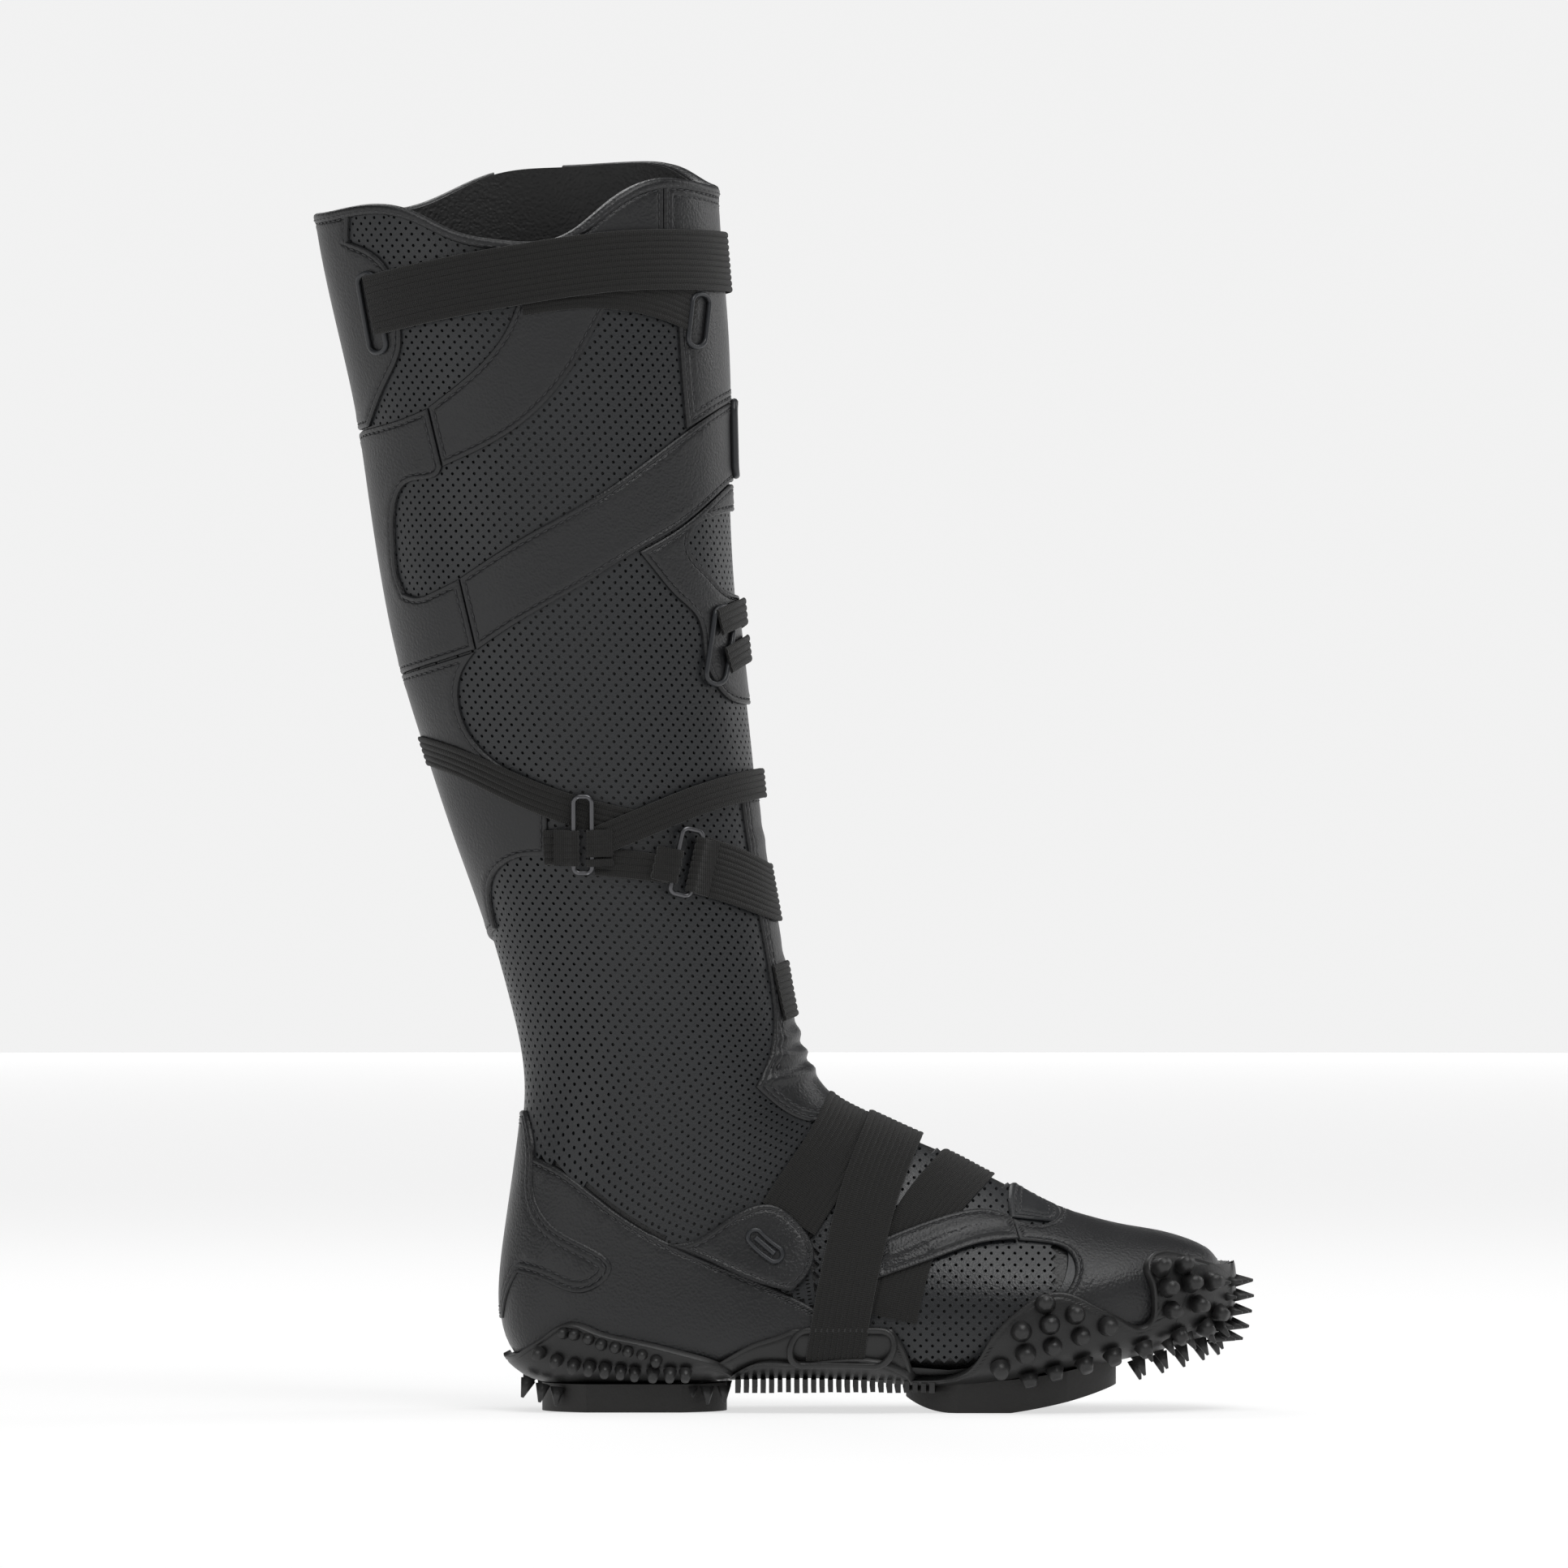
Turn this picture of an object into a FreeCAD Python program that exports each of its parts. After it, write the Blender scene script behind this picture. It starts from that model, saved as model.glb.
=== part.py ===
import FreeCAD, Part

import math
import os

# Tall riding boot, right foot, in millimetres. +X points to the toe, -Y is the lateral
# (outer) side and +Z is up. The origin is the centre of the heel pad's flat underside.
# Every leather layer is a shell between two offsets of one boot-shaped form, trimmed by an
# outline drawn in side view. Outlines are drawn at the pattern size and graded to the boot.

V = FreeCAD.Vector

# ---------------------------------------------------------------- driving dimensions
FOOT_LENGTH = 262.0         # heel to toe over the leather
SHAFT_HEIGHT = 447.0        # ground to the highest point of the collar
WIDTH_SCALE = 1.0           # girth of leg and foot against the pattern

LINING = 1.0                # thickness of each layer
STIFFENER = 0.8
SKIN = 1.0
OVERLAY = 1.0
WEBBING = 1.0
SOLE_WALL = 3.0
LAYER_GAP = 0.3             # clearance between layers

CALF_STRAP_WIDTH = 21.0
CROSS_STRAP_WIDTH = 10.0
ANKLE_STRAP_WIDTH = 21.0
INSTEP_STRAP_WIDTH = 25.0
SHIN_ELASTIC_WIDTH = 9.5

RING_WIRE = 1.8             # wire diameter of both rings
REAR_RING_WIDTH = 8.2       # outside sizes
REAR_RING_HEIGHT = 29.0
FRONT_RING_WIDTH = 9.5
FRONT_RING_HEIGHT = 25.5
FRONT_RING_TILT = 14.5      # degrees, top leaning forward
LOOP_CLEARANCE = 0.45       # between a ring bar and its webbing loop, along the strap
LOOP_LIFT = 0.85            # the same, away from the leg, so that the ring can swing
LOOP_WALL = 0.8

ZIP_WINDOW = 13.0           # half width of the opening that the zip fills
TAPE_HALF = 12.0
TAPE_THICK = 0.6
CHAIN_WIDTH = 2.6           # one row of teeth
CHAIN_THICK = 1.6
CHAIN_SPLIT = 1.2           # gap between the rows, where the slider's post runs
SLIDER_LENGTH = 13.0
SLIDER_WIDTH = 9.0
SLIDER_PLATE = 1.1
SLIDER_CLEARANCE = 0.35
PULLER_LENGTH = 26.0
PULLER_WIDTH = 7.0
PULLER_THICK = 1.3
PULLER_PIN = 0.8            # radius of the bar that the puller turns on

HEEL_PAD_LENGTH = 66.0
HEEL_PAD_HALF_WIDTH = 27.0
FORE_PAD_HALF_WIDTH = 33.0
FOOTBED_THICK = 4.0
STUD_BASE = 2.1             # radii and heights of the moulded studs
STUD_HEIGHT = 2.2
SPIKE_BASE = 2.5
SPIKE_HEIGHT = 3.4
TOE_STUD_BASE = 3.4
TOE_STUD_HEIGHT = 3.6

# Pattern sizes that the outlines below are drawn at.
PATTERN_LENGTH = 262.0
PATTERN_HEIGHT = 447.0
ANKLE_Z = 144.0             # grading in height starts here

# Layer offsets from the inside of the lining.
LINING_OUT = LINING
STIFF_IN = LINING_OUT + LAYER_GAP
STIFF_OUT = STIFF_IN + STIFFENER
SKIN_IN = STIFF_OUT + LAYER_GAP
SKIN_OUT = SKIN_IN + SKIN
OVER_IN = SKIN_OUT + LAYER_GAP
OVER_OUT = OVER_IN + OVERLAY
STRAP_IN = OVER_OUT + LAYER_GAP
STRAP_OUT = STRAP_IN + WEBBING
STRAP2_IN = STRAP_OUT + LAYER_GAP
STRAP2_OUT = STRAP2_IN + WEBBING
SOLE_IN = OVER_OUT + LAYER_GAP
SOLE_OUT = SOLE_IN + SOLE_WALL
RING_LEVEL = OVER_OUT + LAYER_GAP + RING_WIRE / 2 + LOOP_LIFT + LOOP_WALL
SADDLE_OUT = STRAP2_OUT + LAYER_GAP + 1.6

SIDE = 130.0                # side-view outlines are extruded this far either way
CENTRE_LAP = 0.6            # how far the medial half of an outline laps the centre line

# Stations of the boot form, from the open top to the toe. Each is a closed section in a
# plane across the boot: rear or sole point (x, z), front or instep point (x, z), half
# widths (lateral, medial), place of the widest point from rear to front, roundness of the
# rear and front halves (2 is an ellipse, more is squarer), sideways shift of the section
# towards the medial side, and the share of an offset that also moves it towards the toe.
STATIONS = [
    ((-118, 462), (29, 462), (51, 52), 0.50, (2.0, 2.0), 0, 0),
    ((-113, 418), (31, 418), (50, 50), 0.50, (2.0, 2.0), 0, 0),
    ((-106.7, 388), (33.4, 388), (50, 49), 0.50, (2.0, 2.0), 0, 0),
    ((-99.8, 357), (34.6, 357), (49.5, 48), 0.50, (2.0, 2.0), 0, 0),
    ((-95.2, 327), (35.3, 327), (48.5, 46.8), 0.50, (2.0, 2.0), 0, 0),
    ((-90.4, 296), (36.8, 296), (47, 45.4), 0.49, (2.0, 2.0), 0, 0),
    ((-84.1, 266), (39.8, 266), (45.3, 44), 0.48, (2.0, 2.0), 0, 0),
    ((-74.8, 235.5), (43.2, 235.5), (43.3, 42.4), 0.47, (2.0, 2.0), 0, 0),
    ((-64.7, 205), (46.6, 205), (41.3, 40.9), 0.47, (2.0, 2.0), 0, 0),
    ((-53.9, 174.6), (51.8, 174.6), (39.3, 39.4), 0.47, (2.0, 2.0), 0, 0),
    ((-45.2, 144), (57, 144), (37.4, 37.8), 0.47, (2.0, 2.0), 0, 0),
    ((-40.6, 116), (63, 124), (36.2, 36.8), 0.46, (2.1, 2.0), 0, 0),
    ((-42.6, 92), (70.5, 113.5), (35.6, 36.4), 0.45, (2.2, 2.0), 0, 0),
    ((-46, 68), (79.5, 108), (35.2, 36.2), 0.43, (2.3, 2.0), 0, 0),
    ((-48.6, 44), (90, 103), (35, 36), 0.41, (2.5, 1.95), 0, 0),
    ((-46, 25), (101, 98), (35.4, 36.2), 0.40, (2.8, 1.9), 0, 0),
    ((-35, 13.5), (112.5, 93.2), (36.2, 36.8), 0.40, (3.1, 1.85), 0, 0),
    ((-12, 11), (124, 87.3), (37.4, 37.6), 0.39, (3.4, 1.85), 0, 0),
    ((20, 12), (135, 81.7), (39.5, 38.8), 0.37, (3.6, 1.85), 0, 0),
    ((52, 13.5), (144, 76.6), (42, 41), 0.35, (3.6, 1.85), 0, 0),
    ((84, 13), (153, 72.3), (44.4, 43.6), 0.34, (3.6, 1.9), 0.5, 0),
    ((112, 11), (163, 69.2), (46, 45.4), 0.34, (3.6, 2.0), 1, 0),
    ((138, 13.5), (175, 66.3), (45.6, 45.6), 0.34, (3.5, 2.1), 2, 0.1),
    ((160, 18), (187, 64.2), (42.6, 43.6), 0.35, (3.3, 2.2), 3.5, 0.25),
    ((180, 22.5), (197.5, 61.2), (36.6, 38.6), 0.36, (3.0, 2.2), 5, 0.5),
    ((197, 27.8), (205.7, 56.8), (27.5, 30), 0.40, (2.6, 2.2), 6.5, 0.8),
    ((208.5, 32), (209.8, 51), (15.5, 17), 0.45, (2.2, 2.1), 7.5, 1.0),
]
SECTION_POINTS = 16
FIRST_SOLE_STATION = 15

# Collar edge in side view, pattern size.
COLLAR_LATERAL = [(-125, 427), (-113, 427), (-99, 429), (-82, 427.5), (-64.5, 419.5),
                  (-47, 416), (-26.5, 417), (-6.5, 431), (11, 438.5), (31, 436.5), (45, 436)]
COLLAR_MEDIAL = [(-125, 427), (-113, 427.5), (-80.5, 431.5), (-53, 443), (-24, 446),
                 (-0.5, 447), (18, 444.5), (31, 437), (45, 435.5)]
BINDING_DEPTH = 3.2
FLAT_LIFT = 0.2             # how far a flat rim stands off the curved leather below it

# Seams between the main panels, side view, pattern size.
HEEL_SEAM = [(-70, 93), (-37, 90.5), (-6.5, 71), (12, 60.5), (55, 42), (66, 36)]
VAMP_SEAM = [(84, 130), (66, 100), (63, 70), (66, 36)]
TOE_SEAM = [(146, 95), (152, 74), (157, 55), (150, 39), (121, 14), (118, -20)]
FLEX_SEAM = [(38.5, 222), (41, 204), (46, 173), (50.5, 144), (49.5, 128), (44, 116)]

# Zip line on the medial side, pattern size: slider end and foot end.
ZIP_TOP = (-38, 437)
ZIP_FOOT = (6, 112)
SLIDER_START = 16.0         # slider centre below the top of the tape, closed

# Rows of studs on the side walls, pattern size, side view.
HEEL_STUD_ROWS = [
    [(-25, 28.5), (-19, 27.5), (-13, 25.5), (-7, 23.5), (-1, 22), (5, 20.5)],
    [(-30, 21.5), (-23, 19), (-16.5, 17.8), (-10, 17), (-3.5, 16.5), (3, 16), (9.5, 15.8), (16, 15.6)],
]
HEEL_SPIKES = [(-27, 14.5), (-20.5, 12.6), (-13.5, 12), (-6.5, 12), (0.5, 12), (8, 12), (15.5, 12.2), (23, 12.5)]
TOE_STUDS = [(146, 38.5), (156.5, 35.5), (167, 31.5), (137.5, 30), (147.5, 29.5), (158, 26.5),
             (130, 22), (139.5, 21), (149.5, 20), (169, 22.5), (127, 15.5), (136.5, 14.8),
             (179, 26), (190, 31), (189, 43), (198, 40)]
ARCH_RIBS = 11


# ---------------------------------------------------------------- grading and outlines
def graded(point):
    """A pattern point at the boot's own size."""
    x, z = point
    if z > ANKLE_Z:
        z = ANKLE_Z + (z - ANKLE_Z) * (SHAFT_HEIGHT - ANKLE_Z) / (PATTERN_HEIGHT - ANKLE_Z)
    return x * FOOT_LENGTH / PATTERN_LENGTH, z


def at(point, y=0.0):
    x, z = graded(point)
    return V(x, y, z)


def curve(points, y=0.0):
    """A smooth edge through pattern points, or a line through two."""
    places = [at(p, y) for p in points]
    if len(places) == 2:
        return Part.makeLine(places[0], places[1])
    spline = Part.BSplineCurve()
    spline.interpolate(places)
    return spline.toShape()


def prism(runs, y0=-SIDE, y1=SIDE):
    """Side-view outline, extruded across the boot. Each run starts where the last ended."""
    edges = []
    for run in runs:
        edges.append(curve(run, y0))
    first = runs[0][0]
    last = runs[-1][-1]
    if at(first).distanceToPoint(at(last)) > 1e-6:
        edges.append(curve([last, first], y0))
    face = Part.Face(Part.Wire(edges))
    return face.extrude(V(0, y1 - y0, 0))


def lateral(*runs):
    return prism(runs, -SIDE, 0)


def medial(*runs):
    """Medial half, lapping the centre line a little so that two halves join cleanly."""
    return prism(runs, -CENTRE_LAP, SIDE)


def across(*runs):
    return prism(runs)


def largest(shape):
    """The biggest solid of a boolean result."""
    return max(shape.Solids, key=lambda s: s.Volume)


def joined(shapes):
    """One solid from pieces that meet."""
    result = shapes[0].multiFuse(shapes[1:])
    return largest(result.removeSplitter())


# ---------------------------------------------------------------- the boot form
def section(station, offset):
    """Points round one section of the form, its outside moved out by the offset."""
    rear, front, widths, widest, rounding, shift, forward = station
    grow = offset - OVER_OUT
    low = at(rear)
    high = at(front)
    along = (high - low).normalize()
    low = low - along * grow
    high = high + along * grow
    push = V(forward * grow, 0, 0)
    length = (high - low).Length
    points = []
    for i in range(SECTION_POINTS):
        angle = 2 * math.pi * i / SECTION_POINTS
        quarter = 4 * i / SECTION_POINTS
        in_rear = quarter < 1 or quarter > 3
        power = 2.0 / (rounding[0] if in_rear else rounding[1])
        reach = 0.0 if quarter in (1, 3) else abs(math.cos(angle)) ** power
        bulge = 0.0 if quarter in (0, 2) else abs(math.sin(angle)) ** power
        place = widest * (1 - reach) if in_rear else widest + (1 - widest) * reach
        side = -1 if quarter < 2 else 1
        half = (widths[0] if side < 0 else widths[1]) * WIDTH_SCALE + grow
        points.append(low + along * (place * length) + push + V(0, side * half * bulge + shift, 0))
    return points


def spacing(rows):
    """Shared curve parameters for rows of points, from their mean chord lengths."""
    count = len(rows[0])
    places = [0.0]
    for i in range(1, count):
        step = sum((row[i] - row[i - 1]).Length for row in rows) / len(rows)
        places.append(places[-1] + step)
    return [p / places[-1] for p in places]


FORMS = {}


def form(offset):
    """The solid boot form at an offset from the inside of the lining."""
    key = round(offset, 3)
    if key not in FORMS:
        sections = [section(s, offset) for s in STATIONS]
        round_places = spacing([points + [points[0]] for points in sections])
        rings = []
        for points in sections:
            ring = Part.BSplineCurve()
            ring.interpolate(Points=points, PeriodicFlag=True, Parameters=round_places)
            rings.append(ring)
        columns = [list(column) for column in zip(*[ring.getPoles() for ring in rings])]
        long_places = spacing(columns)
        lines = []
        for column in columns:
            line = Part.BSplineCurve()
            line.interpolate(Points=column, Parameters=long_places)
            lines.append(line)
        skin = Part.BSplineSurface()
        skin.buildFromPolesMultsKnots([line.getPoles() for line in lines],
                                      rings[0].getMultiplicities(), lines[0].getMultiplicities(),
                                      rings[0].getKnots(), lines[0].getKnots(), True, False, 3, 3)
        side = skin.toShape()
        ends = [edge for edge in side.Edges if edge.isClosed()]
        caps = [Part.Face(Part.Wire(edge)) for edge in ends]
        closed = Part.makeShell([side] + caps)
        closed.sewShape()
        FORMS[key] = Part.makeSolid(closed)
    return FORMS[key]


SHELLS = {}


def shell(inner, outer):
    key = (round(inner, 3), round(outer, 3))
    if key not in SHELLS:
        SHELLS[key] = form(outer).cut(form(inner))
    return SHELLS[key]


def sole_line(rise, to_ground=True):
    """Outline of everything below the form's sole edge raised by a height."""
    line = [(s[0][0], s[0][1] + rise) for s in STATIONS[FIRST_SOLE_STATION + 1:]]
    line = [(-90, line[0][1])] + line + [(240, line[-1][1] + 6)]
    bottom = -40 if to_ground else 600
    runs = [[line[i], line[i + 1]] for i in range(len(line) - 1)]
    runs.append([line[-1], (240, bottom)])
    runs.append([(240, bottom), (-90, bottom)])
    return prism(runs)


def below_collar(drop):
    """Everything under the collar edge, lowered by a drop; the two sides differ."""
    left = [(x, z - drop) for x, z in COLLAR_LATERAL]
    right = [(x, z - drop) for x, z in COLLAR_MEDIAL]
    low = [(45, -40), (-125, -40)]
    parts = [lateral(left, [left[-1], low[0]], low), medial(right, [right[-1], low[0]], low)]
    return parts


def under_collar(shape, drop=BINDING_DEPTH + LAYER_GAP):
    """Trim a shell to the collar edge; the foot in front of the shaft is kept."""
    keep = []
    foot = Part.makeBox(400, 2 * SIDE, 300, V(at((44, 0)).x, -SIDE, -60))
    for block in below_collar(drop):
        keep.append(block)
    region = keep[0].multiFuse([keep[1], foot])
    return shape.common(region)


def side_point(x, z, offset, side):
    """Point where a line across the boot at (x, z) leaves the form on one side, and its normal."""
    def hit(px, pz):
        line = Part.makeLine(V(px, 0.02 * side, pz), V(px, side * SIDE, pz))
        inside = line.common(form(offset))
        return max((v.Point for v in inside.Vertexes), key=lambda p: abs(p.y))
    step = 1.0
    centre = hit(x, z)
    east = hit(x + step, z) - hit(x - step, z)
    up = hit(x, z + step) - hit(x, z - step)
    normal = east.cross(up).normalize()
    if normal.y * side < 0:
        normal = normal * -1
    return centre, normal


# ---------------------------------------------------------------- main upper panels
def leg_region():
    """Leg panels: above the heel seam and behind the vamp seam."""
    return [HEEL_SEAM, list(reversed(VAMP_SEAM)), [(84, 130), (84, 520)], [(84, 520), (-160, 520)],
            [(-160, 520), (-160, 93)], [(-160, 93), (-70, 93)]]


def flex_region():
    """Front ankle panel, in front of the flex seam."""
    return [FLEX_SEAM, [(44, 116), (60, 106)], [(60, 106), (110, 106)], [(110, 106), (110, 222)],
            [(110, 222), (38.5, 222)]]


def zip_axes():
    """Start, direction down the zip, outward normal and width direction."""
    middle = (SKIN_IN + SKIN_OUT) / 2
    top, n_top = side_point(*graded(ZIP_TOP), middle, 1)
    foot, n_foot = side_point(*graded(ZIP_FOOT), middle, 1)
    down = (foot - top).normalize()
    out = (n_top + n_foot).normalize()
    out = (out - down * out.dot(down)).normalize()
    across_zip = out.cross(down).normalize()
    return top, down, out, across_zip


ZIP_ORIGIN, ZIP_DOWN, ZIP_OUT, ZIP_ACROSS = zip_axes()
ZIP_LENGTH = (at(ZIP_FOOT) - at(ZIP_TOP)).Length


def zip_box(d0, d1, s0, s1, n0, n1):
    """Box in zip axes: along the zip, across it, and out from the leg."""
    box = Part.makeBox(d1 - d0, s1 - s0, n1 - n0, V(d0, s0, n0))
    return zip_placed(box)


def zip_placed(shape):
    matrix = FreeCAD.Matrix(
        ZIP_DOWN.x, ZIP_ACROSS.x, ZIP_OUT.x, ZIP_ORIGIN.x,
        ZIP_DOWN.y, ZIP_ACROSS.y, ZIP_OUT.y, ZIP_ORIGIN.y,
        ZIP_DOWN.z, ZIP_ACROSS.z, ZIP_OUT.z, ZIP_ORIGIN.z,
        0, 0, 0, 1)
    placed = shape.copy()
    placed.Placement = FreeCAD.Placement(matrix).multiply(shape.Placement)
    return placed


def zip_window():
    return zip_box(-40, ZIP_LENGTH + 4, -ZIP_WINDOW, ZIP_WINDOW, -12, 12)


def beside_zip(front):
    """Half space in front of or behind the zip line, as a side-view outline."""
    top = V(ZIP_ORIGIN.x, 0, ZIP_ORIGIN.z) - ZIP_DOWN * 60
    foot = V(ZIP_ORIGIN.x, 0, ZIP_ORIGIN.z) + ZIP_DOWN * 460
    gap = LAYER_GAP / 2 * (1 if front else -1)
    far = 300 if front else -300
    points = [V(top.x + gap, 0, top.z), V(foot.x + gap, 0, foot.z),
              V(foot.x + far, 0, foot.z), V(top.x + far, 0, top.z)]
    face = Part.Face(Part.makePolygon(points + [points[0]]))
    return face.extrude(V(0, SIDE, 0))


def lining():
    body = under_collar(shell(0, LINING_OUT))
    return largest(body.cut(zip_window()))


def leg_lateral():
    body = shell(SKIN_IN, SKIN_OUT).common(prism(leg_region(), -SIDE, -LAYER_GAP / 2))
    return largest(under_collar(body).cut(across(*flex_region())))


def leg_medial(front):
    body = shell(SKIN_IN, SKIN_OUT).common(prism(leg_region(), LAYER_GAP / 2, SIDE))
    body = under_collar(body).cut(across(*flex_region())).cut(zip_window())
    return largest(body.common(beside_zip(front)))


def flex_panel():
    body = shell(SKIN_IN, SKIN_OUT).common(across(*flex_region()))
    return largest(body.common(across(*leg_region())))


def vamp_region():
    return [VAMP_SEAM, [(66, 36), (70, -20)], [(70, -20), (118, -20)], list(reversed(TOE_SEAM)),
            [(146, 95), (146, 130)], [(146, 130), (84, 130)]]


def vamp():
    return largest(shell(SKIN_IN, SKIN_OUT).common(across(*vamp_region())))


def toe_box():
    region = [TOE_SEAM, [(118, -20), (260, -20)], [(260, -20), (260, 95)], [(260, 95), (146, 95)]]
    return largest(shell(SKIN_IN, SKIN_OUT).common(across(*region)))


def heel_quarter():
    region = [HEEL_SEAM, [(66, 36), (70, -20)], [(70, -20), (-70, -20)], [(-70, -20), (-70, 93)]]
    return largest(shell(SKIN_IN, SKIN_OUT).common(across(*region)))


# ---------------------------------------------------------------- smooth leather overlays
def overlay(*regions):
    """Overlay leather under one or two side-view outlines."""
    layer = shell(OVER_IN, OVER_OUT)
    pieces = [largest(under_collar(layer.common(region))) for region in regions]
    if len(pieces) == 1:
        return pieces[0]
    return joined(pieces)


def rear_calf_panel():
    outer = [[(-102, 440), (-102.5, 416.5)], [(-102.5, 416.5), (-94.5, 413), (-88, 406.5), (-84.5, 393),
             (-83.5, 378), (-89, 365.5), (-95, 351)], [(-95, 351), (-125, 347)],
             [(-125, 347), (-130, 440)]]
    inner = [[(-96, 440), (-96, 351)], [(-96, 351), (-125, 347)], [(-125, 347), (-130, 440)]]
    return overlay(lateral(*outer), medial(*inner))


def front_placket():
    outer = [[(11, 450), (11, 419.5)], [(11, 419.5), (14.5, 406), (17, 378), (19.3, 349.5)],
             [(19.3, 349.5), (50, 372)], [(50, 372), (50, 450)]]
    inner = [[(17, 450), (20, 352)], [(20, 352), (50, 372)], [(50, 372), (50, 450)]]
    return overlay(lateral(*outer), medial(*inner))


def collar_panel():
    region = [[(-32, 450), (-32, 405)], [(-32, 405), (-12, 403), (14.2, 404.5)],
              [(14.2, 404.5), (10.7, 419.5)], [(10.7, 419.5), (10.7, 450)]]
    return overlay(lateral(*region))


def swirl_band():
    lower = [(-7, 398), (-13, 386), (-24.5, 367), (-44.5, 348), (-68, 336.5)]
    upper = [(-73, 357.5), (-62.5, 365.5), (-53.5, 373.5), (-44, 387), (-40, 398)]
    return overlay(lateral(lower, [(-68, 336.5), (-73, 357.5)], upper, [(-40, 398), (-7, 398)]))


def rear_mid_panel():
    outer = [[(-73.4, 357), (-68.4, 336.2)], [(-68.4, 336.2), (-69.5, 334), (-80.5, 331), (-86, 320),
             (-86, 308), (-85, 298), (-82.5, 291.5)], [(-82.5, 291.5), (-77.5, 290), (-72.5, 291.5),
             (-62.4, 296.3)], [(-62.4, 296.3), (-56.4, 271.2)], [(-56.4, 271.2), (-88, 262)],
             [(-88, 262), (-125, 262)], [(-125, 262), (-125, 346)],
             [(-125, 346), (-95, 350), (-73.4, 357)]]
    inner = [[(-80, 350), (-72, 262)], [(-72, 262), (-125, 262)], [(-125, 262), (-125, 346)],
             [(-125, 346), (-80, 350)]]
    return overlay(lateral(*outer), medial(*inner))


def diagonal_lateral():
    upper = [(-62, 296.7), (-39.5, 311), (-11.5, 326.5), (19.5, 349), (36.5, 361), (60, 376)]
    lower = [(60, 340), (34, 331.5), (16.5, 315), (3, 307), (-17.5, 294.5), (-44.5, 279), (-56, 271.3)]
    return lateral(upper, [(60, 376), (60, 340)], lower)


def diagonal_band():
    return overlay(diagonal_lateral(),
                   medial([(60, 376), (36, 361), (21, 352)], [(21, 352), (18, 331)],
                          [(18, 331), (34, 331.5), (60, 340)]))


def knee_overlay():
    """Shin piece under the diagonal band, with a notch that shows the perforated leg."""
    left = [(2.5, 306), (9, 298), (16, 290), (23, 283), (26, 268.5), (29, 260.5), (34, 254)]
    notch = [(34, 292), (27, 298.5), (20, 308), (22, 315), (33, 320.5)]
    region = lateral([(33.5, 334), (2.5, 306)], left, [(34, 254), (60, 250)], [(60, 250), (60, 291)],
                     [(60, 291), (34, 292)], notch, [(33, 320.5), (60, 322)], [(60, 322), (60, 342)])
    return overlay(region.cut(diagonal_lateral()))


def lower_back_panel():
    edge = [(-56.4, 270.7), (-61.5, 263.5), (-63, 254), (-59, 241.5), (-46.5, 229.5), (-31, 222)]
    bottom = [(-31, 198), (-38, 198), (-45, 196), (-51, 190), (-53, 182), (-51.5, 165)]
    outer = [[(-90, 261.5), (-56.4, 270.7)], edge, [(-31, 222), (-31, 198)], bottom,
             [(-51.5, 165), (-60, 158)], [(-60, 158), (-90, 158)]]
    inner = [[(-95, 261), (-65, 260)], [(-65, 260), (-50, 205)], [(-50, 205), (-43, 159)], [(-43, 159), (-95, 156)]]
    return overlay(lateral(*outer), medial(*inner))


def heel_overlay():
    front = [(-39, 107), (-36.5, 91.5), (-36, 77), (-31.5, 68.5), (-15, 58.5), (-8, 51.5), (-9.5, 48),
             (-20, 42.5), (-33, 47), (-42, 49.5)]
    tail = [(-42, 49.5), (-45.5, 42), (-47.5, 33)]
    return overlay(across(front, tail, [(-47.5, 33), (-80, 33)], [(-80, 33), (-80, 107)],
                          [(-80, 107), (-39, 107)]))


def ankle_wing():
    rim = [(12, 60), (28.5, 65.5), (41.5, 73), (47.5, 74), (59, 66.5), (64, 57), (62, 50), (56, 43.5),
           (43, 47), (26, 54.5), (12, 60)]
    return overlay(lateral(rim))


def side_band():
    top = [(88, 62), (103, 67.7), (116.5, 71.5), (125.5, 72), (134, 69.4)]
    low = [(136.5, 61.8), (122, 60.2), (112, 57), (102, 53.5), (86, 48)]
    return overlay(lateral(top, [(134, 69.4), (136.5, 61.8)], low))


def throat_end():
    """Stitched end piece of the tongue, over the instep in front of the last strap."""
    side = [(134.4, 69.6), (134, 80), (134, 95)]
    front = [(150, 95), (150.5, 76), (152.2, 70), (150, 68), (134.4, 69.6)]
    return overlay(across(side, [(134, 95), (150, 95)], front))


def toe_cap():
    sole_edge = sole_line(7.0)
    region = [[(152.6, 95), (152.6, 73), (157.4, 55), (151, 40), (130, 20), (121, 13)],
              [(121, 13), (121, -20)], [(121, -20), (260, -20)], [(260, -20), (260, 95)],
              [(260, 95), (152.6, 95)]]
    layer = shell(OVER_IN, OVER_OUT).common(across(*region)).cut(sole_edge)
    return largest(layer)


def medial_side_panel():
    """Plain scuff panel on the inner side of the ankle."""
    rim = [(14, 60), (30, 80), (46, 92), (56, 80), (66, 60), (58, 42), (38, 42), (14, 60)]
    return overlay(medial(rim))


def zip_guard(front):
    """Leather facing beside the zip."""
    inner = ZIP_WINDOW + LAYER_GAP
    outer = ZIP_WINDOW + 11
    s0, s1 = (inner, outer) if zip_side(front) > 0 else (-outer, -inner)
    strip = zip_box(-40, ZIP_LENGTH + 6, s0, s1, -20, 20)
    return largest(under_collar(shell(OVER_IN, OVER_OUT).common(strip)))


def zip_side(front):
    """Sign of the zip's width direction that points to the front of the leg."""
    forward = 1 if ZIP_ACROSS.x > 0 else -1
    return forward if front else -forward


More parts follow.
